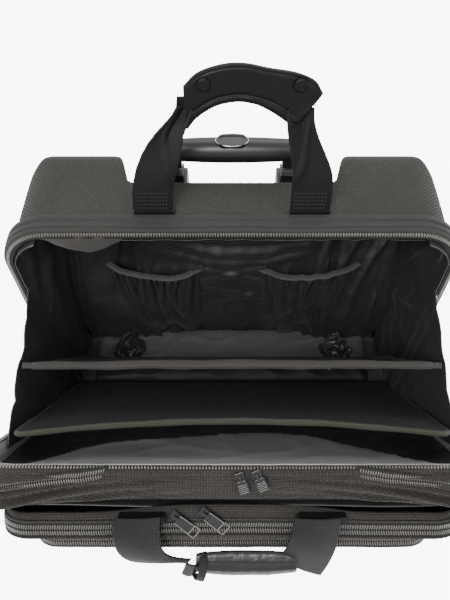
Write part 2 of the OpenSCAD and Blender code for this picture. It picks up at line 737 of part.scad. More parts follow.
module grip_snaps() color("#3d3d40") rear_handle_frame() translate([grip_shift, 0, 0]) both_sides()
    translate([snap_x, -5.1, rear_handle_l - 0.75 * grip_arch]) rotate([90, 0, 0]) difference() {
        cylinder(d = 12, h = 1.6, $fn = 48);
        translate([0, 0, 1]) cylinder(d = 5, h = 2, $fn = 32);
    }

// ---- Front section, drawn closed ----

front_foot_z = hinge_z + 3;
front_half = shell_half;

module front_form(d, extra) intersection() {
    along_y(-front_foot_depth - 20, 20) front_outline(front_half, case_h, d, ground_gap - extra);
    along_x(-big, big) polygon([[front_y(front_foot_z) + d, front_foot_z - extra], [front_y(case_h)
        + d, case_h],
                                [zip_y(case_h) - rim_gap + extra, case_h], [zip_y(front_foot_z)
                                    - rim_gap + extra, front_foot_z - extra]]);
}

module front_section() color("#403e39") difference() {
    front_form(0, 0);
    front_form(front_wall, 12);
}

module front_zip_band() band(-band_w, -2 * teeth_gap);

module front_zip_teeth() teeth_row(-teeth_w - teeth_gap, -teeth_gap);

expansion_y = -band_w + coil_w / 2 + 4;
coil_half = shell_half - corner_r - 6;
deck_z = band_top;
front_total = front_top_depth + organiser_gap + pocket_depth + low_pocket_depth + 20;

module coil(y, z, half) translate([-half, y - coil_w / 2, z]) cube([2 * half, coil_w, coil_t]);

// The small coil zips lie on top of the front section and of the zipped pocket
module expansion_zip() color("#56544e") coil(expansion_y, deck_z + 0.2, coil_half);

organiser_half = shell_half - 26;
organiser_top = case_h - 8;
pocket_foot_z = ground_gap + 38;
pocket_half = shell_half - 24;
pocket_top = case_h - 2;
low_half = shell_half - 52;
low_top = case_h - 12;

module pocket_outline(half, top, foot, r, d) polygon(concat(
    arc(half - d - r, top - d - r, r, 0, 90), arc(-half + d + r, top - d - r, r, 90, 180),
    arc(-half + d + r, foot + d + r, r, 180, 270), arc(half - d - r, foot + d + r, r, 270, 360)));

// The pockets lean with the front wall, and close towards their feet
function pocket_mix(z, top, foot) = foot + (top - foot) * (z - pocket_foot_z)
    / (pocket_top - pocket_foot_z);

function back_line(z) = pocket_mix(z, zipped_back_y, front_y(pocket_foot_z) - 1);

function front_line(z) = back_line(z) - pocket_mix(z, pocket_depth, pocket_foot_depth);

function low_line(z) = front_line(z) - part_gap - low_pocket_depth;

module side_strip(from, to, d, foot, top) along_x(-big, big) polygon([
    [to[0] - d, top - d], [to[1] - d, foot + d], [from[1] + d, foot + d], [from[0] + d, top - d]]);

// Side walls of the open organiser; its mouth faces up
module organiser_pocket() color("#2c2b28") {
    foot = pocket_foot_z + 30;
    intersection() {
        side_strip([back_line(organiser_top) + part_gap, back_line(foot) + part_gap],
                   [front_y(organiser_top) - part_gap, front_y(foot) - part_gap], 0, foot, organiser_top);
        along_y(-front_total, 0) difference() {
            pocket_outline(organiser_half, case_h + 40, pocket_foot_z, 12, 0);
            pocket_outline(organiser_half, case_h + 60, pocket_foot_z, 12 - pocket_wall, pocket_wall);
        }
    }
}

module zipped_form(d) intersection() {
    along_y(-front_total, 0) pocket_outline(pocket_half, pocket_top, pocket_foot_z, 22 - d, d);
    side_strip([front_line(pocket_top), front_line(pocket_foot_z)], [back_line(pocket_top),
        back_line(pocket_foot_z)],
               d, pocket_foot_z, pocket_top);
}

module zipped_pocket() color("#3a3834") difference() {
    zipped_form(0);
    zipped_form(pocket_wall);
}

pocket_zip_y = (zipped_back_y + zipped_front_y) / 2 - 2;
pocket_zip_half = pocket_half - 26;

module pocket_zip() color("#56544e") coil(pocket_zip_y, pocket_top + 0.2, pocket_zip_half);

module low_form(d) intersection() {
    along_y(-front_total, 0) pocket_outline(low_half, low_top, pocket_foot_z + 6, 18 - d, d);
    side_strip([low_line(low_top), low_line(pocket_foot_z)],
               [front_line(low_top) - part_gap, front_line(pocket_foot_z) - part_gap], d,
                   pocket_foot_z, low_top);
}

module low_pocket() color("#3a3834") difference() {
    low_form(0);
    low_form(pocket_wall);
}

// A slider saddles its coil, and its pull lies flat along the coil
slider_w = coil_w + 3;
slider_z = coil_t + 0.4;

module slider(side) color("#19191a") sided(side) {
    translate([-slider_l / 2, -slider_w / 2, slider_z]) cube([slider_l, slider_w, 1.3]);
    for (s = [-1, 1]) translate([-slider_l / 2, s * (slider_w / 2 - 0.6) - 0.6, 0.4]) cube([slider_l,
        1.2, coil_t + 1.2]);
    translate([-slider_l / 2 + 1, -1, slider_z + 1.2]) cube([1.6, 2, 2]);
    translate([slider_l / 2 - 2.6, -1, slider_z + 1.2]) cube([1.6, 2, 2]);
    translate([-slider_l / 2 + 1, -1, slider_z + 2.4]) cube([slider_l - 2, 2, 1]);
    translate([slider_l / 2 - 2, -3.5, slider_z + 1.4]) cube([pull_l, 7, 1.2]);
}

slider_x = 7;

module expansion_slider(side) translate([side * slider_x + 20, expansion_y, deck_z + 0.2]) slider(side);

module pocket_slider(side) translate([side * slider_x - 22, pocket_zip_y, pocket_top + 0.2]) slider(side);

// ---- Front carry handle, drawn on the closed front section ----

module front_handle_frame() translate([0, front_foot[0], front_foot[1]]) rotate([front_handle_droop, 0,
    0]) children();

module front_strap_anchors() color("#1f1e22") both_sides()
    translate([strap_x - web_w / 2, front_foot[0] - anchor_t / 2, pocket_top + 0.3])
        cube([web_w, anchor_t, front_foot[1] - pocket_top - 0.3 - web_t]);

module front_strap(side) color("#26252a") front_handle_frame() {
    x0 = side * strap_x;
    hull() {
        translate([x0 - web_w / 2, -1, -web_t / 2]) cube([web_w, 1, web_t]);
        translate([x0 - web_w / 2, -front_handle_l * 0.7, -web_t / 2]) cube([web_w, 1, web_t]);
    }
    hull() {
        translate([x0 - web_w / 2, -front_handle_l * 0.7, -web_t / 2]) cube([web_w, 1, web_t]);
        translate([x0 - web_w / 2 + side * 2, -front_handle_l - front_grip_d / 2, -web_t])
            cube([web_w - 6, 1, 2 * web_t]);
    }
}

front_grip_half = strap_x - web_w / 2 - 1;

module front_grip() color("#2b2827") front_handle_frame() translate([0, -front_handle_l, 0]) rotate([0,
    90, 0])
    rotate_extrude($fn = 48) polygon(concat(
        [[0, -front_grip_half]], arc(front_grip_d / 2 - 3, -front_grip_half + 3, 3, 270, 360),
        arc(front_grip_d / 2 - 3, front_grip_half - 3, 3, 0, 90), [[0, front_grip_half]]));

// ---- Assembly ----

placed() shell();
placed() rear_zip_band();
placed() rear_zip_teeth();
placed() main_sliders();
placed() lining();
placed() floor_pad();
placed() cloth_hinge();
placed() back_pocket(-1);  // back_pocket_left
placed() back_pocket(1);  // back_pocket_right
placed() back_pocket_centre();
placed() sided(-1) gusset();  // gusset_left
placed() gusset();  // gusset_right
placed() outer_tubes();
placed() tube_foot();
placed() handle_bezel();
placed() back_cover();
placed() trolley_screws();
placed() rear_strap_anchors();
placed() wheel_housings();
placed() axles();
placed() front_feet();
placed() hub(-1);  // hub_left
placed() hub(1);  // hub_right
placed() tyre(-1);  // tyre_left
placed() tyre(1);  // tyre_right
placed() bearings(-1);  // bearings_left
placed() bearings(1);  // bearings_right
placed() middle_tubes();
placed() middle_collars();
placed() inner_tubes();
placed() inner_plugs();
placed() trolley_grip();
placed() release_button();
placed() release_rods();
placed() button_spring();
placed() rear_divider();
placed() rear_divider_edge();
placed() front_divider();
placed() front_divider_edge();
placed() rear_strap(-1);  // rear_strap_left
placed() rear_strap(1);  // rear_strap_right
placed() rear_grip();
placed() grip_snaps();
placed() opened() front_section();
placed() opened() front_zip_band();
placed() opened() front_zip_teeth();
placed() opened() expansion_zip();
placed() opened() organiser_pocket();
placed() opened() zipped_pocket();
placed() opened() pocket_zip();
placed() opened() low_pocket();
placed() opened() front_strap_anchors();
placed() opened() expansion_slider(-1);  // expansion_slider_left
placed() opened() expansion_slider(1);  // expansion_slider_right
placed() opened() pocket_slider(-1);  // pocket_slider_left
placed() opened() pocket_slider(1);  // pocket_slider_right
placed() opened() front_strap(-1);  // front_strap_left
placed() opened() front_strap(1);  // front_strap_right
placed() opened() front_grip();
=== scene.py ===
"""Rolling flight case, open: materials, cloth and stitched detail on the case's solid frame."""

from math import atan2, copysign, cos, exp, pi, radians, sin, sqrt, tan

import bmesh
import bpy
import numpy as np
from mathutils import Matrix, Vector, noise


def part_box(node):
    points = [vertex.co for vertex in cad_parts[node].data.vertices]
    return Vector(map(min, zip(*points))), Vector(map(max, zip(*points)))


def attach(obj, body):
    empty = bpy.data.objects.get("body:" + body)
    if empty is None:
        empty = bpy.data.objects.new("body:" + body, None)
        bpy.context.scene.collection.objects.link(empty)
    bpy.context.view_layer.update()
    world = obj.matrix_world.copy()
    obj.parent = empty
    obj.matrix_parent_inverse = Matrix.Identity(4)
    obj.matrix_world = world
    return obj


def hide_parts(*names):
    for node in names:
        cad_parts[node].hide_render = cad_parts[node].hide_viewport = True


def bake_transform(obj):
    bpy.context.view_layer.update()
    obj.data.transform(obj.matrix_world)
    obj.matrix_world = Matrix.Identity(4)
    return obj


bl_info = {
    "name": "Rolling Flight Case",
    "version": (1, 0, 0),
    "blender": (4, 5, 0),
    "location": "View3D > Sidebar > Flight Case",
    "description": "Builds the cloth, zips, straps and stage of an open rolling flight case",
    "category": "Object",
}

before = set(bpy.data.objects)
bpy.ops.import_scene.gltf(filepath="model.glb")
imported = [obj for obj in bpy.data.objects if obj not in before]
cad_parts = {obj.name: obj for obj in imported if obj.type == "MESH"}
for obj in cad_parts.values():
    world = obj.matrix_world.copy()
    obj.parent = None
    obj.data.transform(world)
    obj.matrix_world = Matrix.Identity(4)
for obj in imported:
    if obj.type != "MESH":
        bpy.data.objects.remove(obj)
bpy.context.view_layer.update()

# ---- Case sizes, millimetres in the case's own frame: X across, Y to the rear, Z up ----

HALF, TOP, FOOT, CORNER = 220.0, 346.0, 24.0, 45.0
BAND_T, BAND_W = 6.0, 23.0
HINGE_Y, HINGE_Z, OPEN = -46.0, 34.0, radians(38)
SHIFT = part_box("shell")[1][1] * 1000 - 118.0
STRAP_X, WEB = 74.0, 38.0
DECK_Z = TOP + BAND_T
SIDES = (("left", -1), ("right", 1))
# Rounding of the solid parts' edges and of the zip teeth
SOLID_EDGE, TOOTH_EDGE = 0.6, 0.22
# Over this height the rim leans forward by these amounts, at the zip and at the front wall
RIM_RISE, ZIP_LEAN, WALL_LEAN, WALL_Y = 312, 36, 17, -29
REAR_HANDLE_LEAN, FRONT_HANDLE_DROOP = radians(18), radians(12)

# ---- Stage: floor half width in metres, camera place in millimetres and tilt in degrees ----

FLOOR_HALF = 6
CAMERA_Y, CAMERA_Z, CAMERA_TILT = -313, 770, 30


def zip_y(z):
    """Depth of the zip line at height z, on the closed case."""
    return -ZIP_LEAN * (TOP - z) / RIM_RISE


def front_y(z):
    """Depth of the front section's wall at height z, on the closed case."""
    return WALL_Y - WALL_LEAN * (TOP - z) / RIM_RISE


def place(p):
    """A point of the case, in millimetres, as metres in the shared frame."""
    return (p[0] / 1000, (p[1] + SHIFT) / 1000, p[2] / 1000)


def opened(p):
    """A point of the closed front section, swung open about the hinge."""
    dy, dz = p[1] - HINGE_Y, p[2] - HINGE_Z
    c, s = cos(OPEN), sin(OPEN)
    return (p[0], HINGE_Y + dy * c - dz * s, HINGE_Z + dy * s + dz * c)


def mix(a, b, t):
    """The value that is t of the way from a to b."""
    return a + (b - a) * t


def smooth(a, b, x):
    """0 below a, 1 above b and an even slope between."""
    t = min(1.0, max(0.0, (x - a) / (b - a)))
    return t * t * (3 - 2 * t)


def bell(offset, width):
    """1 at no offset, dying away on both sides over the given width."""
    return exp(-((offset / width) ** 2))


def hump(t):
    """0 at t = 0 and 1, rising to 1 between them."""
    return sin(pi * t)


def wave(x, y, z=0.0):
    """Even, unhurried unevenness, from about -1 to 1."""
    return noise.noise(Vector((x, y, z)))


def ridge(x, y, z=0.0):
    """Sharp folds: 1 on the crease, falling away on both sides."""
    return 1 - min(1.0, abs(noise.noise(Vector((x, y, z)))) * 2.4)


# ---- Mesh makers ----


def new_object(name, verts, faces, uvs=None, flat=False, is_open=False):
    """A mesh object from case millimetres, with UVs in metres of cloth."""
    points = [place(opened(p) if is_open else p) for p in verts]
    mesh = bpy.data.meshes.new(name)
    mesh.from_pydata(points, [], faces)
    mesh.validate()
    if uvs:
        layer = mesh.uv_layers.new(name="cloth")
        for loop in mesh.loops:
            layer.data[loop.index].uv = uvs[loop.vertex_index]
    mesh.shade_smooth()
    if flat:
        mesh.shade_flat()
    obj = bpy.data.objects.new(name, mesh)
    bpy.context.scene.collection.objects.link(obj)
    return obj


def modify(obj, name, kind, **settings):
    """Adds a modifier with the given settings."""
    add = obj.modifiers.new(name, kind)
    for key, setting in settings.items():
        setattr(add, key, setting)


def finish(obj, material, body, replaces=(), thick=0.0, levels=0, bevel=0.0, offset=0.0, held=()):
    """Gives a piece its thickness and finish, and hangs it on its body."""
    if thick:
        modify(obj, "Thickness", "SOLIDIFY", thickness=thick / 1000, offset=offset)
    if bevel:
        modify(obj, "Edges", "BEVEL", width=bevel / 1000, segments=2, limit_method="ANGLE")
    if levels:
        modify(obj, "Smooth", "SUBSURF", levels=levels, render_levels=levels)
    obj.data.materials.clear()
    obj.data.materials.append(MATERIALS[material])
    if held:
        cloth(obj, *held)
    if body:
        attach(obj, body)
    if replaces:
        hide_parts(*replaces)
    return obj


def grid(name, point, nu, nv, wrap_u=False, wrap_v=False, is_open=False, flip=False):
    """A sheet of quads from point(u, v), u and v from 0 to 1."""
    cols, rows = (nu if wrap_u else nu + 1), (nv if wrap_v else nv + 1)
    verts = [point(i / nu, j / nv) for i in range(cols) for j in range(rows)]
    a = np.array(verts).reshape(cols, rows, 3)
    su = np.zeros((cols, rows))
    su[1:] = np.cumsum(np.linalg.norm(a[1:] - a[:-1], axis=2), axis=0)
    sv = np.zeros((cols, rows))
    sv[:, 1:] = np.cumsum(np.linalg.norm(a[:, 1:] - a[:, :-1], axis=2), axis=1)
    su = np.repeat(su[:, rows // 2 : rows // 2 + 1], rows, axis=1)
    uvs = [(su[i, j] / 1000, sv[i, j] / 1000) for i in range(cols) for j in range(rows)]
    faces = []
    for i in range(nu if wrap_u else cols - 1):
        for j in range(nv if wrap_v else rows - 1):
            k, m = (i + 1) % cols, (j + 1) % rows
            quad = [i * rows + j, k * rows + j, k * rows + m, i * rows + m]
            faces.append(quad[::-1] if flip else quad)
    obj = new_object(name, verts, faces, uvs, is_open=is_open)
    widths = np.linalg.norm(a[1:] - a[:-1], axis=2).sum(axis=0)
    lengths = np.linalg.norm(a[:, 1:] - a[:, :-1], axis=2).sum(axis=1)
    obj["cut"] = (float(widths.mean()) / 1000, float(lengths.mean()) / 1000)
    return obj


def cloth(obj, held, *rests_on):
    """Declares a sheet of cloth with the size it was cut to, to the nearest millimetre."""
    width, length = (round(x, 3) for x in obj["cut"])
    return obj


def sweep(name, path, profile, is_open=False):
    """Sweeps a closed profile of (side, lift) along points with their own side and lift directions."""
    n, m = len(path), len(profile(0.0))
    verts, run, last = [], [], None
    total = 0.0
    for i, (p, side, lift) in enumerate(path):
        p, side, lift = np.array(p), np.array(side), np.array(lift)
        total += 0.0 if last is None else float(np.linalg.norm(p - last))
        last = p
        run.append(total)
        for a, b in profile(i / max(1, n - 1)):
            verts.append(tuple(p + side * a + lift * b))
    ring = np.array(verts[:m])
    girth = np.concatenate([[0], np.cumsum(np.linalg.norm(np.roll(ring, -1, axis=0) - ring, axis=1))])[:m]
    uvs = [(run[i] / 1000, girth[j] / 1000) for i in range(n) for j in range(m)]
    faces = [[i * m + j, i * m + (j + 1) % m, (i + 1) * m + (j + 1) % m, (i + 1) * m + j]
             for i in range(n - 1) for j in range(m)]
    faces += [list(range(m))[::-1], [(n - 1) * m + j for j in range(m)]]
    return new_object(name, verts, faces, uvs, is_open=is_open)


def round_profile(r, squash=1.0, sides=12):
    """A round or flattened cross-section."""
    ring = [(r * cos(2 * pi * k / sides), r * squash * sin(2 * pi * k / sides)) for k in range(sides)]
    return lambda t: ring


def curve_path(points, count, up=(0, 0, 1)):
    """A smooth path through the points, with steady side directions."""
    pts = np.array(points, dtype=float)
    seg = running_length(pts)
    t = np.linspace(0, seg[-1], count)
    out = np.empty((count, 3))
    for axis in range(3):
        out[:, axis] = catmull(seg, pts[:, axis], t)
    tangent = np.gradient(out, axis=0)
    path = []
    for p, d in zip(out, tangent):
        d = d / (np.linalg.norm(d) + 1e-9)
        side = np.cross(d, up)
        side = side / (np.linalg.norm(side) + 1e-9)
        path.append((p, side, np.cross(side, d)))
    return path


def running_length(pts):
    """The length along a line of points, at each point."""
    return np.concatenate([[0], np.cumsum(np.linalg.norm(np.diff(pts, axis=0), axis=1))])


def catmull(s, v, t):
    """Smooth values through (s, v) at t."""
    slope = np.gradient(v, s) if len(v) > 2 else np.full(len(v), (v[-1] - v[0]) / (s[-1] - s[0]))
    k = np.clip(np.searchsorted(s, t, side="right") - 1, 0, len(s) - 2)
    h = s[k + 1] - s[k]
    x = (t - s[k]) / h
    return ((2 * x**3 - 3 * x**2 + 1) * v[k] + (x**3 - 2 * x**2 + x) * h * slope[k]
            + (3 * x**2 - 2 * x**3) * v[k + 1] + (x**3 - x**2) * h * slope[k + 1])


def arch(half, top, radius, foot, step):
    """The rim's outline from left foot to right foot: (x, z, outward x, outward z, run)."""
    side, bend, flat = top - radius - foot, radius * pi / 2, 2 * (half - radius)
    total = 2 * side + 2 * bend + flat
    count = int(total / step)
    out = []
    for k in range(count + 1):
        s = total * k / count
        if s < side:
            out.append((-half, foot + s, -1.0, 0.0, s))
        elif s < side + bend:
            a = (s - side) / radius
            out.append((-half + radius - radius * cos(a), top - radius + radius * sin(a), -cos(a), sin(a),
                        s))
        elif s < side + bend + flat:
            out.append((-half + radius + s - side - bend, top, 0.0, 1.0, s))
        elif s < side + 2 * bend + flat:
            a = (s - side - bend - flat) / radius
            out.append((half - radius + radius * sin(a), top - radius + radius * cos(a), sin(a), cos(a), s))
        else:
            out.append((half, top - radius - (s - side - 2 * bend - flat), 1.0, 0.0, s))
    return out


# ---- Materials ----


class Nodes:
    """Small helper that adds linked shader nodes."""

    def __init__(self, name):
        self.mat = bpy.data.materials.new(name)
        self.mat.use_nodes = True
        self.tree = self.mat.node_tree
        self.shader = self.tree.nodes["Principled BSDF"]

    def add(self, kind, **values):
        node = self.tree.nodes.new(kind)
        for key, value in values.items():
            setattr(node, key, value)
        return node

    def put(self, socket, value):
        if isinstance(value, bpy.types.NodeSocket):
            self.tree.links.new(value, socket)
        else:
            socket.default_value = value

    def math(self, operation, a, b=0.0, c=None):
        node = self.add("ShaderNodeMath", operation=operation)
        self.put(node.inputs[0], a)
        self.put(node.inputs[1], b)
        if c is not None:
            self.put(node.inputs[2], c)
        return node.outputs[0]

    def coords(self, use_uv):
        if use_uv:
            return self.add("ShaderNodeUVMap", uv_map="cloth").outputs[0]
        # Without UVs the cloth is laid on along the axis that the surface faces most
        geo = self.add("ShaderNodeTexCoord")
        pos, normal = self.add("ShaderNodeSeparateXYZ"), self.add("ShaderNodeSeparateXYZ")
        self.put(pos.inputs[0], geo.outputs["Object"])
        self.put(normal.inputs[0], geo.outputs["Normal"])
        nx, ny, nz = (self.math("ABSOLUTE", normal.outputs[k]) for k in range(3))
        x_most = self.math("MULTIPLY", self.math("GREATER_THAN", nx, ny), self.math("GREATER_THAN", nx, nz))
        z_most = self.math("MULTIPLY", self.math("GREATER_THAN", nz, ny),
                           self.math("SUBTRACT", 1.0, x_most))
        u = self.math("ADD", self.math("MULTIPLY", pos.outputs[0], self.math("SUBTRACT", 1.0, x_most)),
                      self.math("MULTIPLY", pos.outputs[1], x_most))
        v = self.math("ADD", self.math("MULTIPLY", pos.outputs[2], self.math("SUBTRACT", 1.0, z_most)),
                      self.math("MULTIPLY", pos.outputs[1], z_most))
        out = self.add("ShaderNodeCombineXYZ")
        self.put(out.inputs[0], u)
        self.put(out.inputs[1], v)
        return out.outputs[0]

    def tint(self, colour, factor, low, high):
        """colour darkened and lightened by factor."""
        ramp = self.add("ShaderNodeMapRange")
        self.put(ramp.inputs[0], factor)
        ramp.inputs[3].default_value = low
        ramp.inputs[4].default_value = high
        out = self.add("ShaderNodeVectorMath", operation="SCALE")
        if isinstance(colour, bpy.types.NodeSocket):
            self.put(out.inputs[0], colour)
        else:
            out.inputs[0].default_value = colour
        self.put(out.inputs[3], ramp.outputs[0])
        return out.outputs[0]

    def noise(self, scale, detail=4.0, vector=None):
        node = self.add("ShaderNodeTexNoise")
        node.inputs["Scale"].default_value = scale
        node.inputs["Detail"].default_value = detail
        self.put(node.inputs["Vector"], vector or self.add("ShaderNodeTexCoord").outputs["Object"])
        return node.outputs[0]

    def bump(self, height, distance, strength=1.0):
        node = self.add("ShaderNodeBump")
        node.inputs["Distance"].default_value = distance
        node.inputs["Strength"].default_value = strength
        self.put(node.inputs["Height"], height)
        self.put(self.shader.inputs["Normal"], node.outputs[0])

    def done(self, roughness, sheen=0.0, metallic=0.0, specular=0.5):
        self.shader.inputs["Roughness"].default_value = roughness
        self.shader.inputs["Metallic"].default_value = metallic
        self.shader.inputs["Specular IOR Level"].default_value = specular
        self.shader.inputs["Sheen Weight"].default_value = sheen
        self.shader.inputs["Sheen Roughness"].default_value = 0.4
        return self.mat


def weave(name, colour, pitch, use_uv, depth=0.25, roughness=0.82, sheen=0.06, worn=0.25):
    """Basket-woven cloth: threads pass over and under each other in both directions."""
    n = Nodes(name)
    split = n.add("ShaderNodeSeparateXYZ")
    n.put(split.inputs[0], n.coords(use_uv))
    u = n.math("DIVIDE", split.outputs[0], pitch / 1000)
    v = n.math("DIVIDE", split.outputs[1], pitch / 1000)
    parity = n.math("FLOORED_MODULO", n.math("ADD", n.math("FLOOR", u), n.math("FLOOR", v)), 2.0)
    over_u = n.math("SINE", n.math("MULTIPLY", n.math("FRACT", u), pi))
    over_v = n.math("SINE", n.math("MULTIPLY", n.math("FRACT", v), pi))
    height = n.math("ADD", n.math("MULTIPLY", over_u, parity),
                    n.math("MULTIPLY", over_v, n.math("SUBTRACT", 1.0, parity)))
    # Threads are painted darker where they dip under and lighter where they ride over: painted shade and
    # highlight. The noise on top is random tone.
    painted_shade_and_tone = n.tint(n.tint(colour, height, 0.4, 1.5), n.noise(14), 1 - worn, 1 + worn)
    speck = n.tint(painted_shade_and_tone, n.noise(620, 1.0), 0.45, 1.55)
    n.put(n.shader.inputs["Base Color"], speck)
    n.bump(height, depth / 1000, 0.9)
    return n.done(roughness, sheen, specular=0.16)


def ribbed(name, colour, pitch, slant=0.0, depth=0.25, roughness=0.7, sheen=0.05, cross=0.0, specular=0.18):
    """Ribbed or twilled tape: ribs across its width, or on the slant."""
    n = Nodes(name)
    split = n.add("ShaderNodeSeparateXYZ")
    n.put(split.inputs[0], n.coords(True))
    along = n.math("ADD", split.outputs[0], n.math("MULTIPLY", split.outputs[1], slant))
    rib = n.math("SINE", n.math("MULTIPLY", along, 2 * pi * 1000 / pitch))
    if cross:
        other = n.math("SINE", n.math("MULTIPLY", split.outputs[1], 2 * pi * 1000 / cross))
        rib = n.math("ADD", n.math("MULTIPLY", rib, 0.6), n.math("MULTIPLY", other, 0.4))
    # Rib troughs are painted darker and rib crests lighter: painted shade and highlight. The noise on top
    # is random tone.
    painted_shade_and_tone = n.tint(n.tint(colour, n.math("MULTIPLY_ADD", rib, 0.5, 0.5), 0.72, 1.2), n.noise(20), 0.8, 1.2)
    n.put(n.shader.inputs["Base Color"], painted_shade_and_tone)
    n.bump(rib, depth / 1000, 0.6)
    return n.done(roughness, sheen, specular=specular)


def plain(name, colour, roughness, metallic=0.0, grain=0.0, scale=300.0, streak=0.0, worn=0.2,
          specular=0.5):
    """Leather, plastic, metal or nylon: a fine grain and slightly uneven colour."""
    n = Nodes(name)
    vector = None
    if streak:
        mapping = n.add("ShaderNodeMapping")
        mapping.inputs["Scale"].default_value = (1.0, 1.0, streak)
        n.put(mapping.inputs["Vector"], n.add("ShaderNodeTexCoord").outputs["Object"])
        vector = mapping.outputs[0]
    n.put(n.shader.inputs["Base Color"], n.tint(colour, n.noise(18), 1 - worn, 1 + worn))
    if grain:
        n.bump(n.noise(scale, 6.0, vector), grain / 1000, 0.7)
    return n.done(roughness, 0.0, metallic, specular)


MATERIALS = {}


def make_materials():
    """Makes every finish, keyed by the name that finish() uses."""
    look = bpy.context.scene.case_look
    m = MATERIALS
    cloth, band, bind = tuple(look.cloth), tuple(look.band), tuple(look.binding)
    m["shell"] = weave("BodyWeave", tuple(c * 0.74 for c in cloth), 2.1, False, 0.4, sheen=0.05)
    m["cloth"] = weave("FrontWeave", tuple(c * k for c, k in zip(cloth, (0.6, 0.56, 0.56))), 2.4, True, 0.6,
                       sheen=0.04, worn=0.3)
    m["cover"] = weave("CoverWeave", tuple(c * 0.6 for c in cloth), 1.7, False, 0.4, sheen=0.04)
    m["band"] = ribbed("BandCloth", band, 1.5, cross=1.5, depth=0.3, sheen=0.06)
    m["tape"] = ribbed("ZipTape", tuple(c * 0.35 for c in band), 1.0, cross=1.6, depth=0.15, sheen=0.03)
    m["facing"] = ribbed("FacingTape", (0.027, 0.025, 0.023), 1.4, cross=1.0, depth=0.2, sheen=0.05)
    m["lining"] = nylon("LiningNylon", tuple(look.lining), 0.5)
    # The gathered pockets and floor ruffles use the lining's nylon made half again lighter: painted light
    # on the same cloth.
    m["pocket"] = nylon("PocketNylonPaintedLighter", tuple(c * 1.5 for c in look.lining), 0.34)
    m["divider"] = weave("DividerCloth", (0.0085, 0.0085, 0.0092), 1.3, True, 0.12, 0.6, 0.02)
    m["pad"] = weave("FloorPadCloth", (0.036, 0.035, 0.035), 1.4, False, 0.12, 0.55, 0.04)
    m["binding"] = ribbed("ThickBinding", bind, 1.7, cross=1.3, depth=0.3, sheen=0.06)
    m["olive"] = ribbed("OliveBinding", (0.020, 0.020, 0.0145), 1.6, cross=1.3, depth=0.25, sheen=0.05)
    m["facing_dark"] = ribbed("FrontLining", (0.17, 0.166, 0.16), 1.2, cross=1.2, depth=0.1, roughness=0.5,
                              sheen=0.03)
    m["webbing"] = ribbed("StrapWebbing", (0.0058, 0.005, 0.0051), 1.5, slant=0.7, depth=0.3, roughness=0.5,
                          sheen=0.01, specular=0.12)
    m["leather"] = plain("GripLeather", (0.0026, 0.0025, 0.0027), 0.4, grain=0.3, scale=420, specular=0.11)
    m["glossy"] = plain("BarLeather", (0.0052, 0.0046, 0.0044), 0.36, grain=0.6, scale=260, specular=0.25)
    m["thread"] = plain("StitchThread", (0.0048, 0.0045, 0.0042), 0.6, grain=0.1)
    m["plastic"] = plain("BlackPlastic", (0.0055, 0.0055, 0.006), 0.38, grain=0.12, scale=900, specular=0.3)
    m["teeth"] = plain("ZipTeeth", tuple(look.teeth), 0.32, grain=0.05, worn=0.35)
    m["coil"] = plain("ZipCoil", (0.05, 0.047, 0.042), 0.34, worn=0.3)
    m["metal"] = plain("BlackMetal", (0.009, 0.009, 0.0098), 0.32, 0.3, grain=0.05, specular=0.4)
    m["alloy"] = plain("SatinAlloy", (0.5, 0.51, 0.52), 0.32, 1.0, grain=0.04, scale=500, streak=0.02)
    m["steel"] = plain("SatinSteel", (0.42, 0.42, 0.43), 0.3, 1.0, grain=0.04, scale=700)
    m["rubber"] = plain("TyreRubber", (0.008, 0.008, 0.008), 0.75, grain=0.25, scale=600, specular=0.25)
    # Pale finish for the right front strap's cut end: a painted highlight where the strap's edge catches
    # light.
    m["edge"] = plain("StrapEdgeHighlight", (0.22, 0.21, 0.2), 0.4, grain=0.1)


def nylon(name, colour, roughness=0.4):
    """Thin shiny lining cloth, finely creased."""
    n = Nodes(name)
    crease = n.noise(26, 7.0)
    fine = n.noise(160, 3.0)
    height = n.math("ADD", crease, n.math("MULTIPLY", fine, 0.08))
    # The same noise that bumps the creases darkens them and lightens their crests: painted shade and
    # highlight.
    n.put(n.shader.inputs["Base Color"], n.tint(colour, crease, 0.6, 1.45))
    n.bump(height, 0.006, 0.6)
    return n.done(roughness, 0.02)


# ---- Rear half ----


def plain_cad():
    """Finishes the solid parts whose shape is already right."""
    looks = {"plastic": ["tube_foot", "handle_bezel", "wheel_housings", "hub_left", "hub_right",
                         "middle_collars", "inner_plugs", "trolley_grip", "release_button"],
             "alloy": ["middle_tubes", "inner_tubes"],
             "steel": ["trolley_screws", "axles", "bearings_left", "bearings_right", "button_spring",
                       "release_rods"], "metal": ["outer_tubes", "main_sliders"],
             "rubber": ["tyre_left", "tyre_right", "front_feet"], "cover": ["back_cover", "cloth_hinge"],
             "webbing": ["rear_strap_anchors", "front_strap_anchors"],
             "tape": ["rear_zip_teeth", "front_zip_teeth"],}
    for look, names in looks.items():
        for name in names:
            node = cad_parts[name]
            node.data.materials.clear()
            node.data.materials.append(MATERIALS[look])
            if look in ("plastic", "alloy", "steel", "metal", "rubber"):
                modify(node, "Edges", "BEVEL", width=SOLID_EDGE / 1000, segments=2,
                       limit_method="ANGLE", angle_limit=radians(40))


def copy_node(node, name):
    """A free copy of one solid's mesh."""
    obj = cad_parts[node].copy()
    obj.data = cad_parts[node].data.copy()
    obj.name = name
    obj.data.name = name
    obj.parent = None
    obj.matrix_world = Matrix.Identity(4)
    bpy.context.scene.collection.objects.link(obj)
    for key in list(obj.keys()):
        del obj[key]
    return obj


def bake(obj):
    """Applies every modifier on the piece."""
    graph = bpy.context.evaluated_depsgraph_get()
    mesh = bpy.data.meshes.new_from_object(obj.evaluated_get(graph))
    obj.modifiers.clear()
    obj.data = mesh
    return obj


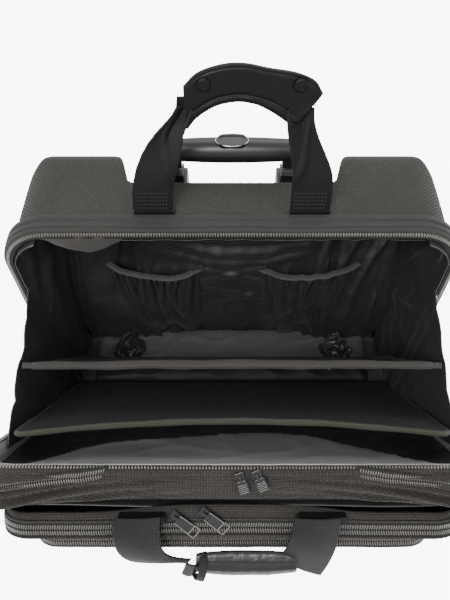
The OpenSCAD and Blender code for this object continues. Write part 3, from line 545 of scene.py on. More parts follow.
def remesh(obj, voxel):
    """Remakes the mesh in even quads of the given size, in millimetres."""
    modify(obj, "Even", "REMESH", mode="VOXEL", voxel_size=voxel / 1000, use_smooth_shade=True)
    return bake(obj)


def shell_skin():
    """Moulded rear shell with its sharp solid edges rounded off, as cloth over moulded sheet."""
    skin = remesh(copy_node("shell", "rear_body_skin"), 2.4)
    modify(skin, "Round", "SMOOTH", factor=0.5, iterations=26)
    bake(skin)
    skin.data.shade_smooth()
    finish(skin, "shell", "rear_case", ["shell"])


def rim_frames(half, top, radius, foot, step, depth):
    """Path along the rim: each point with its outward direction and the depth direction."""
    path = []
    for x, z, nx, nz, _ in arch(half, top, radius, foot, step):
        path.append(((x, depth(z), z), (nx, 0, nz), (0, 1, 0)))
    return path


def tooth_row(name, path, body, inward, reach, size, pitch_skip=1, is_open=False):
    """Separate moulded teeth standing along a path: (point, out, back)."""
    verts, faces = [], []
    along_half, lift_half = size
    for i in range(1, len(path) - 1, pitch_skip):
        p, out, back = (np.array(v, dtype=float) for v in path[i])
        t = np.array(path[i + 1][0]) - np.array(path[i - 1][0])
        t /= np.linalg.norm(t)
        base = len(verts)
        for k, (b, w) in enumerate(((reach[0], 1.0), (reach[1] * 0.55, 1.0), (reach[1], 0.62))):
            for sa, sl in ((-1, -1), (1, -1), (1, 1), (-1, 1)):
                verts.append(tuple(p + back * b + t * sa * along_half * w
                                   + out * (inward + sl * lift_half * (0.8 + 0.2 * w))))
        for r in (0, 4):
            for k in range(4):
                faces.append([base + r + k, base + r + (k + 1) % 4, base + r + 4 + (k + 1) % 4,
                              base + r + 4 + k])
        faces.append([base + 11, base + 10, base + 9, base + 8])
        faces.append([base, base + 1, base + 2, base + 3])
    obj = new_object(name, verts, faces, flat=True, is_open=is_open)
    modify(obj, "Edges", "BEVEL", width=TOOTH_EDGE / 1000, segments=1)
    finish(obj, "teeth", body)
    return obj


def band_profile(width, thick, grooves, bulge=0.8):
    """Cross-section of a padded band with stitched grooves: side is outward, lift is depth."""
    ring = []
    count = 44
    for k in range(count + 1):
        d = width * k / count
        edge = min(1.0, d / 2.2, (width - d) / 2.2)
        height = thick * sin(edge * pi / 2) ** 0.6 if edge < 1 else thick
        height += bulge * sin(pi * d / width)
        for g in grooves:
            height -= 1.5 * bell(d - g, 0.75)
        ring.append((height, d))
    ring += [(-0.6, width), (-0.6, 0)]
    return lambda t: ring


def rear_rim():
    """Stitched rim band with its row of zip teeth and the tape behind them."""
    def depth(z):
        return zip_y(z) + 1.2
    path = rim_frames(HALF + 0.4, TOP + 0.4, CORNER, FOOT, 3.0, depth)
    band = sweep("rear_rim_band", path, band_profile(BAND_W - 1, BAND_T - 0.6, (5.5, 12.0, 13.8)))
    for v in band.data.vertices:
        wob = 0.35 * wave(v.co.x * 30, v.co.z * 30, 3.0)
        v.co.y += wob / 1000
    finish(band, "band", "rear_case", ["rear_zip_band"])
    seam = sweep("rear_rim_piping", rim_frames(HALF + 1.2, TOP + 1.2, CORNER, FOOT, 4.0,
            lambda z: depth(z) + BAND_W - 1), round_profile(1.7))
    finish(seam, "band", "rear_case")
    teeth = rim_frames(HALF + 1.0, TOP + 1.0, CORNER, FOOT + 8, 1.3, zip_y)
    tooth_row("rear_teeth", teeth, "rear_case", 0.6, (2.2, -0.4), (0.75, 1.5), 2)
    # Facing tape that shows inside the rim, loose enough to droop at the corners
    def facing(u, v):
        k = min(len(rim) - 1, int(u * (len(rim) - 1) + 0.5))
        x, z, nx, nz, run = rim[k]
        droop = 7 + 3.5 * wave(run / 60, 1.5) + 7 * bell(abs(x) - 185, 22) * (z > 250)
        patch = max(0.0, 1 - abs(x + 140) / 48) * (z > 320)
        droop += 19 * patch
        inward = -0.6 + v * (droop + 1.6)
        back = (0.4 + v * (11 + 3 * wave(run / 45, 7.7)) * (1 - 0.95 * min(1, 1.6 * patch))
                + 1.2 * wave(run / 9, v * 2))
        return (x - nx * inward, zip_y(z) + back, z - nz * inward)
    rim = arch(HALF - 1.2, TOP - 1.2, CORNER, FOOT + 12, 4.0)
    tape = grid("rim_facing", facing, len(rim) - 1, 5)
    finish(tape, "facing", "rear_case", thick=0.8, levels=1)
    # Rivets low on both sides of the rim
    for side, x in SIDES:
        y = zip_y(252)
        disc = sweep("rim_rivet_" + side, [((x * (HALF - 3.2), y - 1.5, 256), (0, 1, 0), (0, 0, 1)),
                ((x * (HALF - 4.6), y - 1.8, 256), (0, 1, 0), (0, 0, 1))], round_profile(3.6, sides=20))
        finish(disc, "steel", "rear_case", bevel=0.4)


def wall_half(z, inset):
    """Inner half width at height z, narrowing round the top corners."""
    r = CORNER - inset
    over = z - (TOP - inset - r)
    return HALF - inset if over <= 0 else HALF - inset - (r - sqrt(max(0.0, r * r - over * over)))


def lining_bag():
    """Loose lining of the shell, wrinkled, and sagging in swags above the pockets."""
    plan = [(-213, -4), (-209, 30), (-204.5, 85), (-200, 98), (-188, 108), (-134, 109), (-120, 102),
            (-112, 74), (-98, 64), (-40, 63.5), (40, 63.5), (98, 64), (112, 74), (120, 102), (134, 109),
            (188, 108), (200, 98), (204.5, 85), (209, 30), (213, -4)]
    pts = np.array(plan, dtype=float)
    run = running_length(pts)
    total = run[-1]

    def wall(u, v):
        s = u * total
        x = float(np.interp(s, run, pts[:, 0]))
        y = float(np.interp(s, run, pts[:, 1]))
        z = 38 + v * 300
        y += zip_y(z) * (1 - smooth(-4, 60, y))
        if y > 46 and abs(x) > 100:
            # Over the wheel arches the cloth stands forward of them
            y = mix(47, y, smooth(70, 300, z))
        fold = ridge(s / 34 + 0.8 * sin(z / 70), z / 210, 5.0) ** 2 * (4.5 + 5 * smooth(120, 300, z))
        fold += 2.2 * wave(s / 12, z / 34, 9.0)
        fold *= smooth(0, 24, s) * smooth(0, 24, total - s)
        # The cloth sags away from the wall just under the rim at the back
        middle = 1 - smooth(84, 104, abs(x))
        in_swag = middle * smooth(196, 212, z)
        fold *= 1 - 0.8 * in_swag
        swag = 0.0
        for z0, rise, high, wide in ((214, 34, 8.0, 8.0), (236, 30, 9.0, 10.0), (266, 16, 8.0, 12.0)):
            swag += high * bell(z - z0 - rise * ((x - 8) / 95) ** 2 - 5 * wave(x / 40, z0), wide)
        swag *= in_swag
        lim = wall_half(z, 6)
        x = max(-lim, min(lim, x))
        d = fold + swag
        if abs(x) > 190 and y < 95:
            return (x - copysign(min(13, d), x), y, z)
        return (x, y - min(16, d), z)

    bag = grid("lining_walls", wall, 300, 84)
    finish(bag, "lining", "rear_case", ["lining"], thick=0.8, held=("hung", "shell"))

    def ceiling(u, v):
        x = mix(-188, 188, u)
        y = mix(zip_y(TOP) + 4, 64, v)
        return (x, y, 337 - 4 * hump(v) - 3 * ridge(x / 40, y / 60, 2.0))

    top = grid("lining_roof", ceiling, 90, 20)
    finish(top, "lining", "rear_case", thick=0.8, levels=1, held=("hung", "shell"))

    def floor(u, v):
        x = mix(-213, 213, u)
        y = mix(-52, 62, v)
        z = (32.5 + 4.4 * (1 - smooth(-38, -26, y)) + 0.8 * wave(x / 25, y / 25, 8.0)
             + 2.5 * smooth(0.85, 1.0, v))
        return (x * (1 - 0.02 * smooth(-20, 60, y)), y, z)

    base = grid("lining_floor", floor, 120, 24)
    finish(base, "lining", "rear_case", thick=0.8, held=("laid", "shell"))


# Gathers under an elastic mouth: place along it, length, depth and drift
PLEATS = ((0.07, 0.5, 5.0, 0.1), (0.15, 0.3, 3.5, 0.05), (0.22, 0.72, 5.5, 0.16), (0.3, 0.26, 3.5, -0.05),
          (0.37, 0.45, 4.5, 0.0), (0.45, 0.8, 5.5, 0.1), (0.52, 0.3, 3.5, -0.1), (0.6, 0.55, 5.0, -0.05),
          (0.68, 0.28, 4.0, 0.08), (0.75, 0.7, 5.5, -0.14), (0.84, 0.35, 4.0, -0.05),
          (0.92, 0.6, 5.0, -0.12))


def gathered_pocket(side):
    """Open pocket with an elastic mouth, gathered into folds, hung on the rear wall."""
    cx, half, back, foot = side * 93.0, 54.0, 62.5, 47.0
    word = "left" if side < 0 else "right"
    width = half + (2 if side < 0 else 6)

    def mouth(u):
        x = 2 * u - 1
        return 203.5 + 5.5 * x * side - 5.5 * (1 - x * x)

    def panel(u, v):
        x = 2 * u - 1
        z = mix(foot, mouth(u), v)
        belly = (1 - abs(x) ** 3.0) * (12 + 7 * hump(min(1, v * 1.1)) ** 0.8 + 3 * v)
        pull = bell(v - 0.86, 0.2) * (1 - smooth(0.93, 1.0, v) * 0.8)
        gather = 1.5 * sin(u * 40 + 3 * wave(u * 7, 1.0, side)) * pull * (0.3 + abs(wave(u * 5, 5.0))) * 1.6
        gather += (4.2 * (ridge(u * 6.5 + 0.4 * v, v * 0.8, 7.0 + side) ** 2 - 0.4) * pull
                   * (0.6 + 0.6 * abs(wave(u * 4, 2.0))))
        crease = 6.5 * ridge(u * 4.2 + 0.5 * v, v * 1.7, 3.0 + side) ** 2 * (1 - 0.6 * v ** 3)
        for uk, drop, deep, drift in PLEATS:
            if side > 0:
                uk, drift = 1 - uk, -drift
            reach = (0.97 - v) / drop
            if 0 < reach < 1:
                off = (u - uk - drift * (0.97 - v)) / (0.012 + 0.03 * reach)
                crease += deep * exp(-off * off) * (1 - reach) ** 0.7 * smooth(0, 0.06, reach)
                crease -= 0.5 * deep * exp(-((abs(off) - 1.9) ** 2)) * (1 - reach)
        pinch = 1 - 0.03 * hump(v)
        return (cx + x * width * pinch, back - belly - (gather - crease) * (1 - abs(x) ** 6), z)

    obj = grid("pocket_front_" + word, panel, 190, 90)
    finish(obj, "pocket", "rear_case", ["back_pocket_" + word], thick=0.9,
           held=("gathered", "lining_walls"))
    pts = [panel(k / 40, 1.0) for k in range(41)]
    pts = [(p[0], p[1] - 0.2, p[2] + 0.5) for p in pts]
    edge = sweep("pocket_elastic_" + word, curve_path(pts, 110, (0, 1, 0)), round_profile(1.4, 3.0, 16))
    finish(edge, "facing", "rear_case")


def centre_pocket():
    """Flat pocket between the gathered ones, its cloth pulled into crossing folds."""
    def panel(u, v):
        x, z = mix(-40, 41, u), mix(48, 218, v) + 5 * sin(u * 6.0) * v
        y = 61.8 - 3 * hump(u) - 2.5 * hump(v)
        for x0, z0, x1, z1, h in ((-38, 199, 38, 172, 2.2), (-38, 172, 38, 201, 2.2),
                                  (-36, 156, 34, 138, 1.6), (-30, 116, 36, 146, 1.8),
                                  (-38, 90, 38, 112, 1.5)):
            t = (x - x0) / (x1 - x0)
            d = z - mix(z0, z1, t) - 4 * sin(t * 3)
            y -= 0.8 * h * bell(d, 5.0) - 0.8 * bell(d - 8, 5)
        return (x, y - 0.8 * wave(x / 9, z / 12, 1.0), z)

    obj = grid("pocket_front_centre", panel, 80, 120)
    finish(obj, "lining", "rear_case", ["back_pocket_centre"], thick=0.9,
           held=("hung", "lining_walls"))


def inner_pockets():
    """The three pockets on the rear wall."""
    gathered_pocket(-1)
    gathered_pocket(1)
    centre_pocket()


def swell(obj, voxel, pressure, cap, steps=20):
    """Puffs a pad with a short cloth run under pressure, no point moving further than cap."""
    remesh(obj, voxel)
    before = np.array([v.co[:] for v in obj.data.vertices])
    scene = bpy.context.scene
    add = obj.modifiers.new("Swell", "CLOTH")
    add.settings.quality = 5
    add.settings.mass = 0.3
    add.settings.use_pressure = True
    add.settings.uniform_pressure_force = pressure
    add.settings.effector_weights.gravity = 0
    add.settings.tension_stiffness = 25
    add.settings.bending_stiffness = 3
    add.point_cache.frame_start = 1
    add.point_cache.frame_end = steps
    for step in range(1, steps + 1):
        scene.frame_set(step)
    bake(obj)
    scene.frame_set(1)
    after = np.array([v.co[:] for v in obj.data.vertices])
    move = after - before
    far = np.linalg.norm(move, axis=1, keepdims=True)
    move *= np.minimum(1.0, cap / 1000 / np.maximum(far, 1e-9))
    for v, co in zip(obj.data.vertices, before + move):
        v.co = co
    modify(obj, "Smooth", "SUBSURF", levels=1, render_levels=1)
    bake(obj)
    obj.data.shade_smooth()
    return obj


def floor_pad():
    """Padded floor, swollen between its edges, with crumpled cloth at both ends."""
    pad = copy_node("floor_pad", "floor_cushion")
    for v in pad.data.vertices:
        v.co.x *= 0.985
        v.co.z = v.co.z - 0.0015 if v.co.z > 0.04 else v.co.z
    swell(pad, 5.0, 3.0, 2.5)
    for v in pad.data.vertices:
        x, y = v.co.x * 1000, v.co.y * 1000
        if v.co.z > 0.036:
            v.co.z += (0.7 * wave(x / 22, y / 14, 1.0) + 1.6 * ridge(x / 60, y / 30, 4.0) ** 3) / 1000
    finish(pad, "pad", "rear_case", ["floor_pad"])
    # In front of the rear divider the pad is painted in the dividers' black cloth: painted shade between
    # the two dividers.
    pad.data.materials.append(MATERIALS["divider"])
    for face in pad.data.polygons:
        face.material_index = int(face.center.y * 1000 < SHIFT + 9)
    for word, side in SIDES:
        def ruffle(u, v):
            x = side * (128 + 34 * u + 6 * sin(v * 9 + u * 4))
            y = mix(-6, 54, v) + 4 * wave(u * 4, v * 5, side)
            z = 49 + 9 * ridge(u * 3.4 + v * 1.5, v * 4.6 - u, 6.0 + side) ** 1.5 + 3 * hump(u)
            return (x, y, z - 5 * abs(2 * u - 1) ** 4 - 4 * abs(2 * v - 1) ** 6)
        obj = grid("floor_ruffle_" + word, ruffle, 46, 60)
        finish(obj, "pocket", "rear_case", thick=0.8, levels=1,
               held=("gathered", "floor_cushion"))


def gussets():
    """Loose side cloths that join the two halves and fold up as the front closes."""
    inner, outer = 16, 240
    rear = atan2(272 - HINGE_Z, zip_y(272) - HINGE_Y)
    for word, side in SIDES:
        def panel(u, v):
            dip = 1 - 0.055 * hump(u) * v
            r = mix(inner, outer, v) * dip
            a = rear - 9 / r + u * (OPEN + 17 / r)
            tuck = 5 * hump(u) * hump(min(1, 0.15 + v * 0.85))
            pleat = 3.8 * ridge(u * 3.6 + 0.35 * v, v * 0.9, 2.0 + side) ** 2 * hump(u) * (0.35 + v * 0.65)
            x = side * (212.5 - tuck - pleat - 0.8 * wave(u * 9, v * 9, side))
            if u > 0.5:
                x += side * 0.5
            return (x, HINGE_Y + r * cos(a), HINGE_Z + r * sin(a))
        obj = grid("side_cloth_" + word, panel, 70, 110, flip=side > 0)
        finish(obj, "lining", None, ["gusset_" + word], thick=1.0,
               held=("hung", "rear_rim_band", "front_section"))
        bake(obj)
        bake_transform(obj)


def dividers():
    """Two padded panels with bound edges, each standing in the case from its own foot."""
    for word, body, foot_y, height, lean, width, thick, bow, bind_r, look in (
            ("rear", "rear_divider_panel", 10, 236, 26, 404, 4.0, 2.0, 4.0, "binding"),
            ("front", "front_divider_panel", -27, 248, 33, 413, 4.0, 14.0, 2.8, "olive")):
        a = radians(lean)
        up = np.array((0, -sin(a), cos(a)))
        out = np.array((0, -cos(a), -sin(a)))
        foot = np.array((0, foot_y, 47.0))
        corner = 14.0

        def at(x, s, d):
            bend = bow * (1 - (x / (width / 2)) ** 2) * (s / height) ** 2
            return tuple(foot + up * s + out * (d - bend) + np.array((x, 0, 0)))

        def panel(u, v):
            s = 2 + v * (height - 5)
            half = width / 2 - 2
            if s > height - corner:
                half -= corner - sqrt(max(0.0, corner**2 - (s - height + corner) ** 2))
            x = mix(-half, half, u)
            d = 1.1 * wave(x / 55, s / 50, bow) + 0.5 * wave(x / 14, s / 18, 2.0)
            return at(x, s, d)

        board = grid(word + "_divider_cloth", panel, 120, 70)
        modify(board, "Thickness", "SOLIDIFY", thickness=thick / 1000, offset=0)
        bake(board)
        finish(board, "divider", body, [word + "_divider"])
        rim = []
        for x, s, nx, ns, _ in arch(width / 2 - 1, height - 1, corner, 2, 3.5):
            d = 1.1 * wave(x / 55, s / 50, bow)
            rim.append((at(x, s, d), (nx, ns * up[1], ns * up[2]), tuple(out)))

        def section(t):
            swell_at = 0.82 + 0.3 * bell(t - 0.5, 0.22) + 0.06 * sin(t * 90)
            return [(bind_r * 0.95 * swell_at * cos(b), bind_r * swell_at * sin(b))
                    for b in np.linspace(0, 2 * pi, 17)[:-1]]

        edge = sweep(word + "_divider_binding", rim, section)
        finish(edge, look, body, [word + "_divider_edge"])
        for k, side in SIDES if word == "rear" else ():
            base = np.array(at(side * (width / 2 - 3), height - 6, 0))
            pts = [base, base + np.array((side * 5, 0, 1.5)), base + np.array((side * 9, 0, 0.5))]
            tab = sweep("%s_divider_tab_%s" % (word, k), curve_path(pts, 8), round_profile(3.4, 0.6))
            finish(tab, "binding", body)


def rear_handle():
    """Webbing straps that fold into a wrapped leather grip, with its bound edge, stitches and snaps."""
    lean = REAR_HANDLE_LEAN
    up = np.array((0, sin(lean), cos(lean)))
    fwd = np.array((0, -cos(lean), sin(lean)))
    foot = np.array((0, 27, 354.5))

    def at(x, s, d):
        return foot + up * s + fwd * d + np.array((x, 0, 0))

    # Crescent wrap: left and right ends, lower and upper edges, in the handle's own plane
    low = [(-38.5, 82), (-30, 91.5), (-14, 101), (4, 104.5), (19, 102.5), (31, 97.5), (42, 91), (52.5, 84)]
    high = [(-39.5, 117), (-27.5, 127), (-8, 133), (10.5, 133.5), (29, 130), (52, 126.5), (67, 120.5),
            (74, 111)]
    tl = np.linspace(0, 1, 8)

    def edge(points, t):
        p = np.array(points, dtype=float)
        return np.array((catmull(tl, p[:, 0], np.array([t]))[0], catmull(tl, p[:, 1], np.array([t]))[0]))

    lows = [edge(low, k / 96) for k in range(97)]
    highs = [edge(high, k / 96) for k in range(97)]

    def wrap(u, v):
        k = int(round(u * 96))
        a = v * 2 * pi
        across = 0.5 - 0.5 * cos(a)
        q = mix(lows[k], highs[k], across)
        ends = 1 - abs(2 * u - 1) ** 8
        lift = 4.6 * (sin(a)) * (0.35 + 0.65 * ends)
        crown = 1.2 * abs(sin(a)) ** 0.5 * hump(u)
        gutter = 1.5 * bell(across - 0.17, 0.035) + 1.1 * bell(across - 0.93, 0.03)
        sign = 1 if lift >= 0 else -1
        lift = sign * (min(3.0, abs(lift) * 2.2) + 0.4 * crown - min(gutter, 1.0) * ends)
        lift += 0.5 * wave(q[0] / 16, q[1] / 10, sign)
        lift += 3.5 * (2 * u - 1) ** 2 - 1.0
        return tuple(at(q[0], q[1], lift))

    grip = grid("wrapped_grip", wrap, 96, 48, wrap_v=True, flip=True)
    grid_caps(grip)
    finish(grip, "leather", "rear_handle", ["rear_grip"])
    grip.data.shade_smooth()
    rim = [at(*lows[k], 3.5 * (2 * k / 96 - 1) ** 2) for k in range(97)]
    bind = sweep("grip_bound_edge", curve_path(rim, 130, (0, 1, 0)), round_profile(1.7))
    finish(bind, "leather", "rear_handle")
    stitches("grip_stitches", [at(*mix(lows[k], highs[k], 0.17), 3.2 + 3.5 * (2 * k / 96 - 1) ** 2 - 1.0)
                               for k in range(4, 93)], 2.6, 0.45, "rear_handle", tuple(fwd))
    for word, x, s in (("left", -23, 118.5), ("right", 55, 118)):
        centre = at(x, s, 2.6 + 3.5 * ((x - 17) / 56) ** 2)
        path = [(centre + fwd * d, (1, 0, 0), tuple(up)) for d in (-1.5, 1.2, 1.9, 2.1)]
        radii = iter((5.6, 5.6, 4.6, 3.2))
        rings = [[(r * cos(b), r * sin(b)) for b in np.linspace(0, 2 * pi, 29)[:-1]] for r in radii]
        snap = sweep("grip_snap_" + word, path, lambda t, rings=rings: rings[int(round(t * 3))])
        finish(snap, "leather", "rear_handle", ["grip_snaps"])
        ring = [at(x + 4.4 * cos(b), s + 4.4 * sin(b), 4.7 + 3.5 * ((x - 17) / 56) ** 2)
                for b in np.linspace(0, 2 * pi, 40)]
        finish(sweep("snap_rim_" + word, curve_path(ring, 60, tuple(fwd)), round_profile(0.35)), "leather",
               "rear_handle")
    flap = grid("grip_loose_tab", lambda u, v: tuple(
            mix(at(-36, 88 + 18 * v, -5), at(-48 + 2 * v, 91 + 14 * v, -6.5), u)), 8, 8)
    finish(flap, "leather", "rear_handle", thick=1.6, levels=1)
    # Straps: flat at the foot, folding lengthwise as they narrow into the grip
    for word, side in SIDES:
        def strap(u, v):
            t = v
            s = mix(-2.5, 98, t)
            fold = smooth(0.25, 0.95, t)
            if side < 0:
                centre = float(np.interp(s, (-2.5, 15, 30, 44, 57, 67, 76, 90, 98),
                        (-75.2, -73.8, -71, -67, -62, -58, -53.5, -43.5, -39)))
                w = float(np.interp(s, (-2.5, 44, 57, 67, 76, 90, 98), (19, 18.6, 17.5, 15.2, 12, 8, 7)))
            else:
                centre = mix(STRAP_X, 57, smooth(0.12, 1.0, t) * 0.85 + 0.15 * t)
                centre += 3 * hump(min(1, t * 1.1)) ** 2 * smooth(0, 0.5, t)
                w = mix(WEB / 2, 11.5, fold)
            k = 2 * u - 1
            curl = fold * 9.0 * (k * side * -1 > 0.1) * (abs(k) - 0.1)
            d = -1.5 + 4 * hump(t) - fold * 7 * (1 - abs(k)) + curl * 0.6 + 2.0 * t
            # Triangular fold where the strap turns inward
            d += (3.0 * bell(k * side + 0.9 - 2.6 * (t - 0.32), 0.2) * smooth(0.2, 0.45, t)
                  * (1 - smooth(0.75, 1, t)))
            return tuple(at(centre + k * w, s, d))

        web = grid("rear_webbing_" + word, strap, 28, 90)
        finish(web, "webbing", "rear_handle", ["rear_strap_" + word], thick=2.2, levels=1)
        for row in range(5):
            pts = [strap(0.06 + 0.88 * k / 20, 0.03 + row * 0.043) for k in range(21)]
            pts = [tuple(np.array(p) + fwd * 1.2) for p in pts]
            stitches("strap_stitch_%s_%d" % (word, row), pts, 2.8, 0.4, "rear_handle", tuple(fwd))


def grid_caps(obj):
    """Closes the two open ends of a tube made by grid()."""
    bm = bmesh.new()
    bm.from_mesh(obj.data)
    edges = [e for e in bm.edges if e.is_boundary]
    bmesh.ops.holes_fill(bm, edges=edges, sides=200)
    bm.to_mesh(obj.data)
    bm.free()


def thread_faces(base):
    """Faces of one short thread: four rings of six points, closed at both ends."""
    faces = []
    for ring in range(base, base + 18, 6):
        for j in range(6):
            k = (j + 1) % 6
            faces.append([ring + j, ring + k, ring + 6 + k, ring + 6 + j])
    faces.append([base + j for j in range(6)][::-1])
    faces.append([base + 18 + j for j in range(6)])
    return faces


def stitches(name, points, pitch, radius, body, lift):
    """A row of separate stitches lying along the points."""
    pts = np.array(points, dtype=float)
    seg = running_length(pts)
    verts, faces = [], []
    up = np.array(lift, dtype=float)
    for k in range(int(seg[-1] / pitch)):
        a, b = (k + 0.15) * pitch, (k + 0.85) * pitch
        p, q = (np.array([np.interp(t, seg, pts[:, i]) for i in range(3)]) for t in (a, b))
        d = (q - p) / (np.linalg.norm(q - p) + 1e-9)
        side = np.cross(d, up)
        side /= np.linalg.norm(side) + 1e-9
        nrm = np.cross(side, d)
        base = len(verts)
        for t, r in ((0.0, 0.35), (0.25, 1.0), (0.75, 1.0), (1.0, 0.35)):
            c = mix(p, q, t) + nrm * radius * 0.6 * hump(t)
            for j in range(6):
                g = j * pi / 3
                verts.append(tuple(c + (side * cos(g) + nrm * sin(g)) * radius * r))
        faces += thread_faces(base)
    obj = new_object(name, verts, faces)
    return finish(obj, "thread", body)


# ---- Front half, described closed and swung open ----


def deck_edges(x, z):
    """Rear and front edges of the front section's top strip; loose cloth bows both at the sides."""
    on_top = smooth(292, 340, z)
    far = min(1.0, abs(x) / 205)
    return zip_y(z) - 1.2 + 1.2 * far * on_top, front_y(z) - on_top * (14 * far ** 3.2 - 1.5)


def front_deck():
    """Loose top strip of the front section, pulled into slanting folds from its middle to both sides."""
    rim = arch(HALF - 0.4, TOP, CORNER, FOOT + 5, 1.9)
    last = len(rim) - 1
    folds = []
    for side in (-1, 1):
        folds += [(side, 30, 0.10, 205, 0.70, 2.6, 2.2), (side, 72, 0.10, 206, 0.36, 2.0, 1.8),
                  (side, 52, 0.42, 196, 0.93, 2.8, 2.6), (side, 22, 0.55, 120, 0.95, 1.6, 2.2),
                  (side, 96, 0.22, 200, 0.52, 1.4, 1.5)]

    def deck(u, v):
        x, z, nx, nz, run = rim[int(round(u * last))]
        y0, y1 = deck_edges(x, z)
        y = mix(y0, y1, v)
        top = smooth(285, 338, z)
        lift = 5.4 * sin(min(1, (v + 0.02) / 0.1) * pi / 2) ** 0.7
        lip = smooth(0.9, 1.0, v)
        lift += 1.6 * hump(v) - 4.0 * lip * top - 3 * lip * (1 - top)
        for side, xa, va, xb, vb, high, wide in folds:
            if side * x > xa - 14 and z > 250:
                t = (side * x - xa) / (xb - xa)
                line = mix(va, vb, t) - 0.05 * hump(min(1, max(0, t)))
                d = (v - line) * (y0 - y1)
                e = min(1.0, max(0.0, t * 3 + 0.35)) * min(1.0, max(0.0, (1.12 - t) * 5))
                crest = high * bell(d, wide) - 0.75 * high * bell(d - 2.1 * wide, wide * 0.9)
                lift += (1 + 0.7 * smooth(90, 150, side * x)) * e * crest
        lift += top * 1.0 * wave(x / 30, v * 3, 4.0) + 0.35 * wave(run / 10, v * 9, 2.0)
        # A stitched line just in front of the teeth
        lift -= 1.0 * bell(y0 - y - 5.2, 0.6) + 0.7 * bell(y0 - y - 7.2, 0.5)
        return (x + nx * lift, y, z + nz * lift)

    skin = grid("front_top_cloth", deck, last, 64, is_open=True, flip=True)
    finish(skin, "cloth", "front_half", ["front_zip_band"], thick=1.6, offset=-1.0,
           held=("stretched", "front_section"))

    teeth = [((x, deck_edges(x, z)[0] + 0.2, z), (nx, 0, nz), (0, 1, 0))
             for x, z, nx, nz, _ in arch(HALF + 0.6, TOP + 0.6, CORNER, FOOT + 10, 1.3)]
    tooth_row("front_teeth", teeth, "front_half", 1.4, (-2.2, 0.9), (0.72, 1.5), 2, is_open=True)
    # Expansion coil: shows at both sides, tucked under a fold towards the middle
    for word, side in SIDES:
        line = []
        for k, (x, z, nx, nz, _) in enumerate(rim):
            if x * side > 100 and z > 200:
                v = float(np.interp(abs(x), (96, 128, 170, 205, 214), (0.1, 0.22, 0.36, 0.5, 0.56)))
                p, q = np.array(deck(k / last, v)), np.array((nx, 0, nz))
                line.append((p + q * (0.7 - 6.0 * (1 - smooth(84, 126, abs(x)))), (0, 1, 0), tuple(q)))
        if side > 0:
            line = line[::-1]
        coil_rows("expansion_coil_" + word, line, "front_half")
        tape = sweep("expansion_tape_" + word, line,
                     lambda t: [(-5.6, -0.9), (5.6, -0.9), (5.4, 0.15), (-5.4, 0.15)], is_open=True)
        finish(tape, "tape", "front_half", ["expansion_zip"])


def coil_rows(name, line, body, half_gap=2.2, pitch=2.0):
    """Two rows of slanting coil turns along a line of (point, side, lift)."""
    pts = np.array([p for p, s, l in line], dtype=float)
    sides = np.array([s for p, s, l in line], dtype=float)
    lifts = np.array([l for p, s, l in line], dtype=float)
    seg = running_length(pts)
    verts, faces = [], []

    def at(values, t):
        return np.array([np.interp(t, seg, values[:, i]) for i in range(3)])

    for k in range(int(seg[-1] / pitch)):
        t = (k + 0.5) * pitch
        p, s, l = at(pts, t), at(sides, t), at(lifts, t)
        d = np.cross(s, l)
        d /= np.linalg.norm(d) + 1e-9
        for row in (-1, 1):
            base = len(verts)
            axis = s * 1.55 * row + d * 0.42
            axis /= np.linalg.norm(axis)
            wide = np.cross(axis, l)
            c0 = p + s * row * half_gap
            for e, r, h in ((-2.1, 0.35, 0.35), (-1.2, 0.66, 1.0), (1.2, 0.66, 1.0), (2.1, 0.35, 0.35)):
                c = c0 + axis * e
                for j in range(6):
                    g = j * pi / 3
                    verts.append(tuple(c + wide * r * cos(g) + l * (h * sin(g) + 0.55)))
            faces += thread_faces(base)
    obj = new_object(name, verts, faces, is_open=True)
    return finish(obj, "coil", body)


POCKET_FOOT, POCKET_TOP, LOW_TOP = 62.0, 344.0, 334.0


def pocket_mix(z, top, foot):
    """A depth that goes from foot at the pockets' lower edge to top at their upper one."""
    return foot + (top - foot) * (z - POCKET_FOOT) / (POCKET_TOP - POCKET_FOOT)


def back_line(z):
    """Depth of the zipped pocket's back."""
    return pocket_mix(z, -40.0, front_y(POCKET_FOOT) - 1)


def front_line(z):
    """Depth of the zipped pocket's face."""
    return back_line(z) - pocket_mix(z, 27.0, 14.0)


def low_line(z):
    """Depth of the low pocket's face."""
    return front_line(z) - 0.3 - 8.0


def outline_half(z, half, top, radius):
    """Half width at height z of a panel with round top corners."""
    over = z - (top - radius)
    return half if over <= 0 else half - radius + sqrt(max(0.0, radius * radius - over * over))


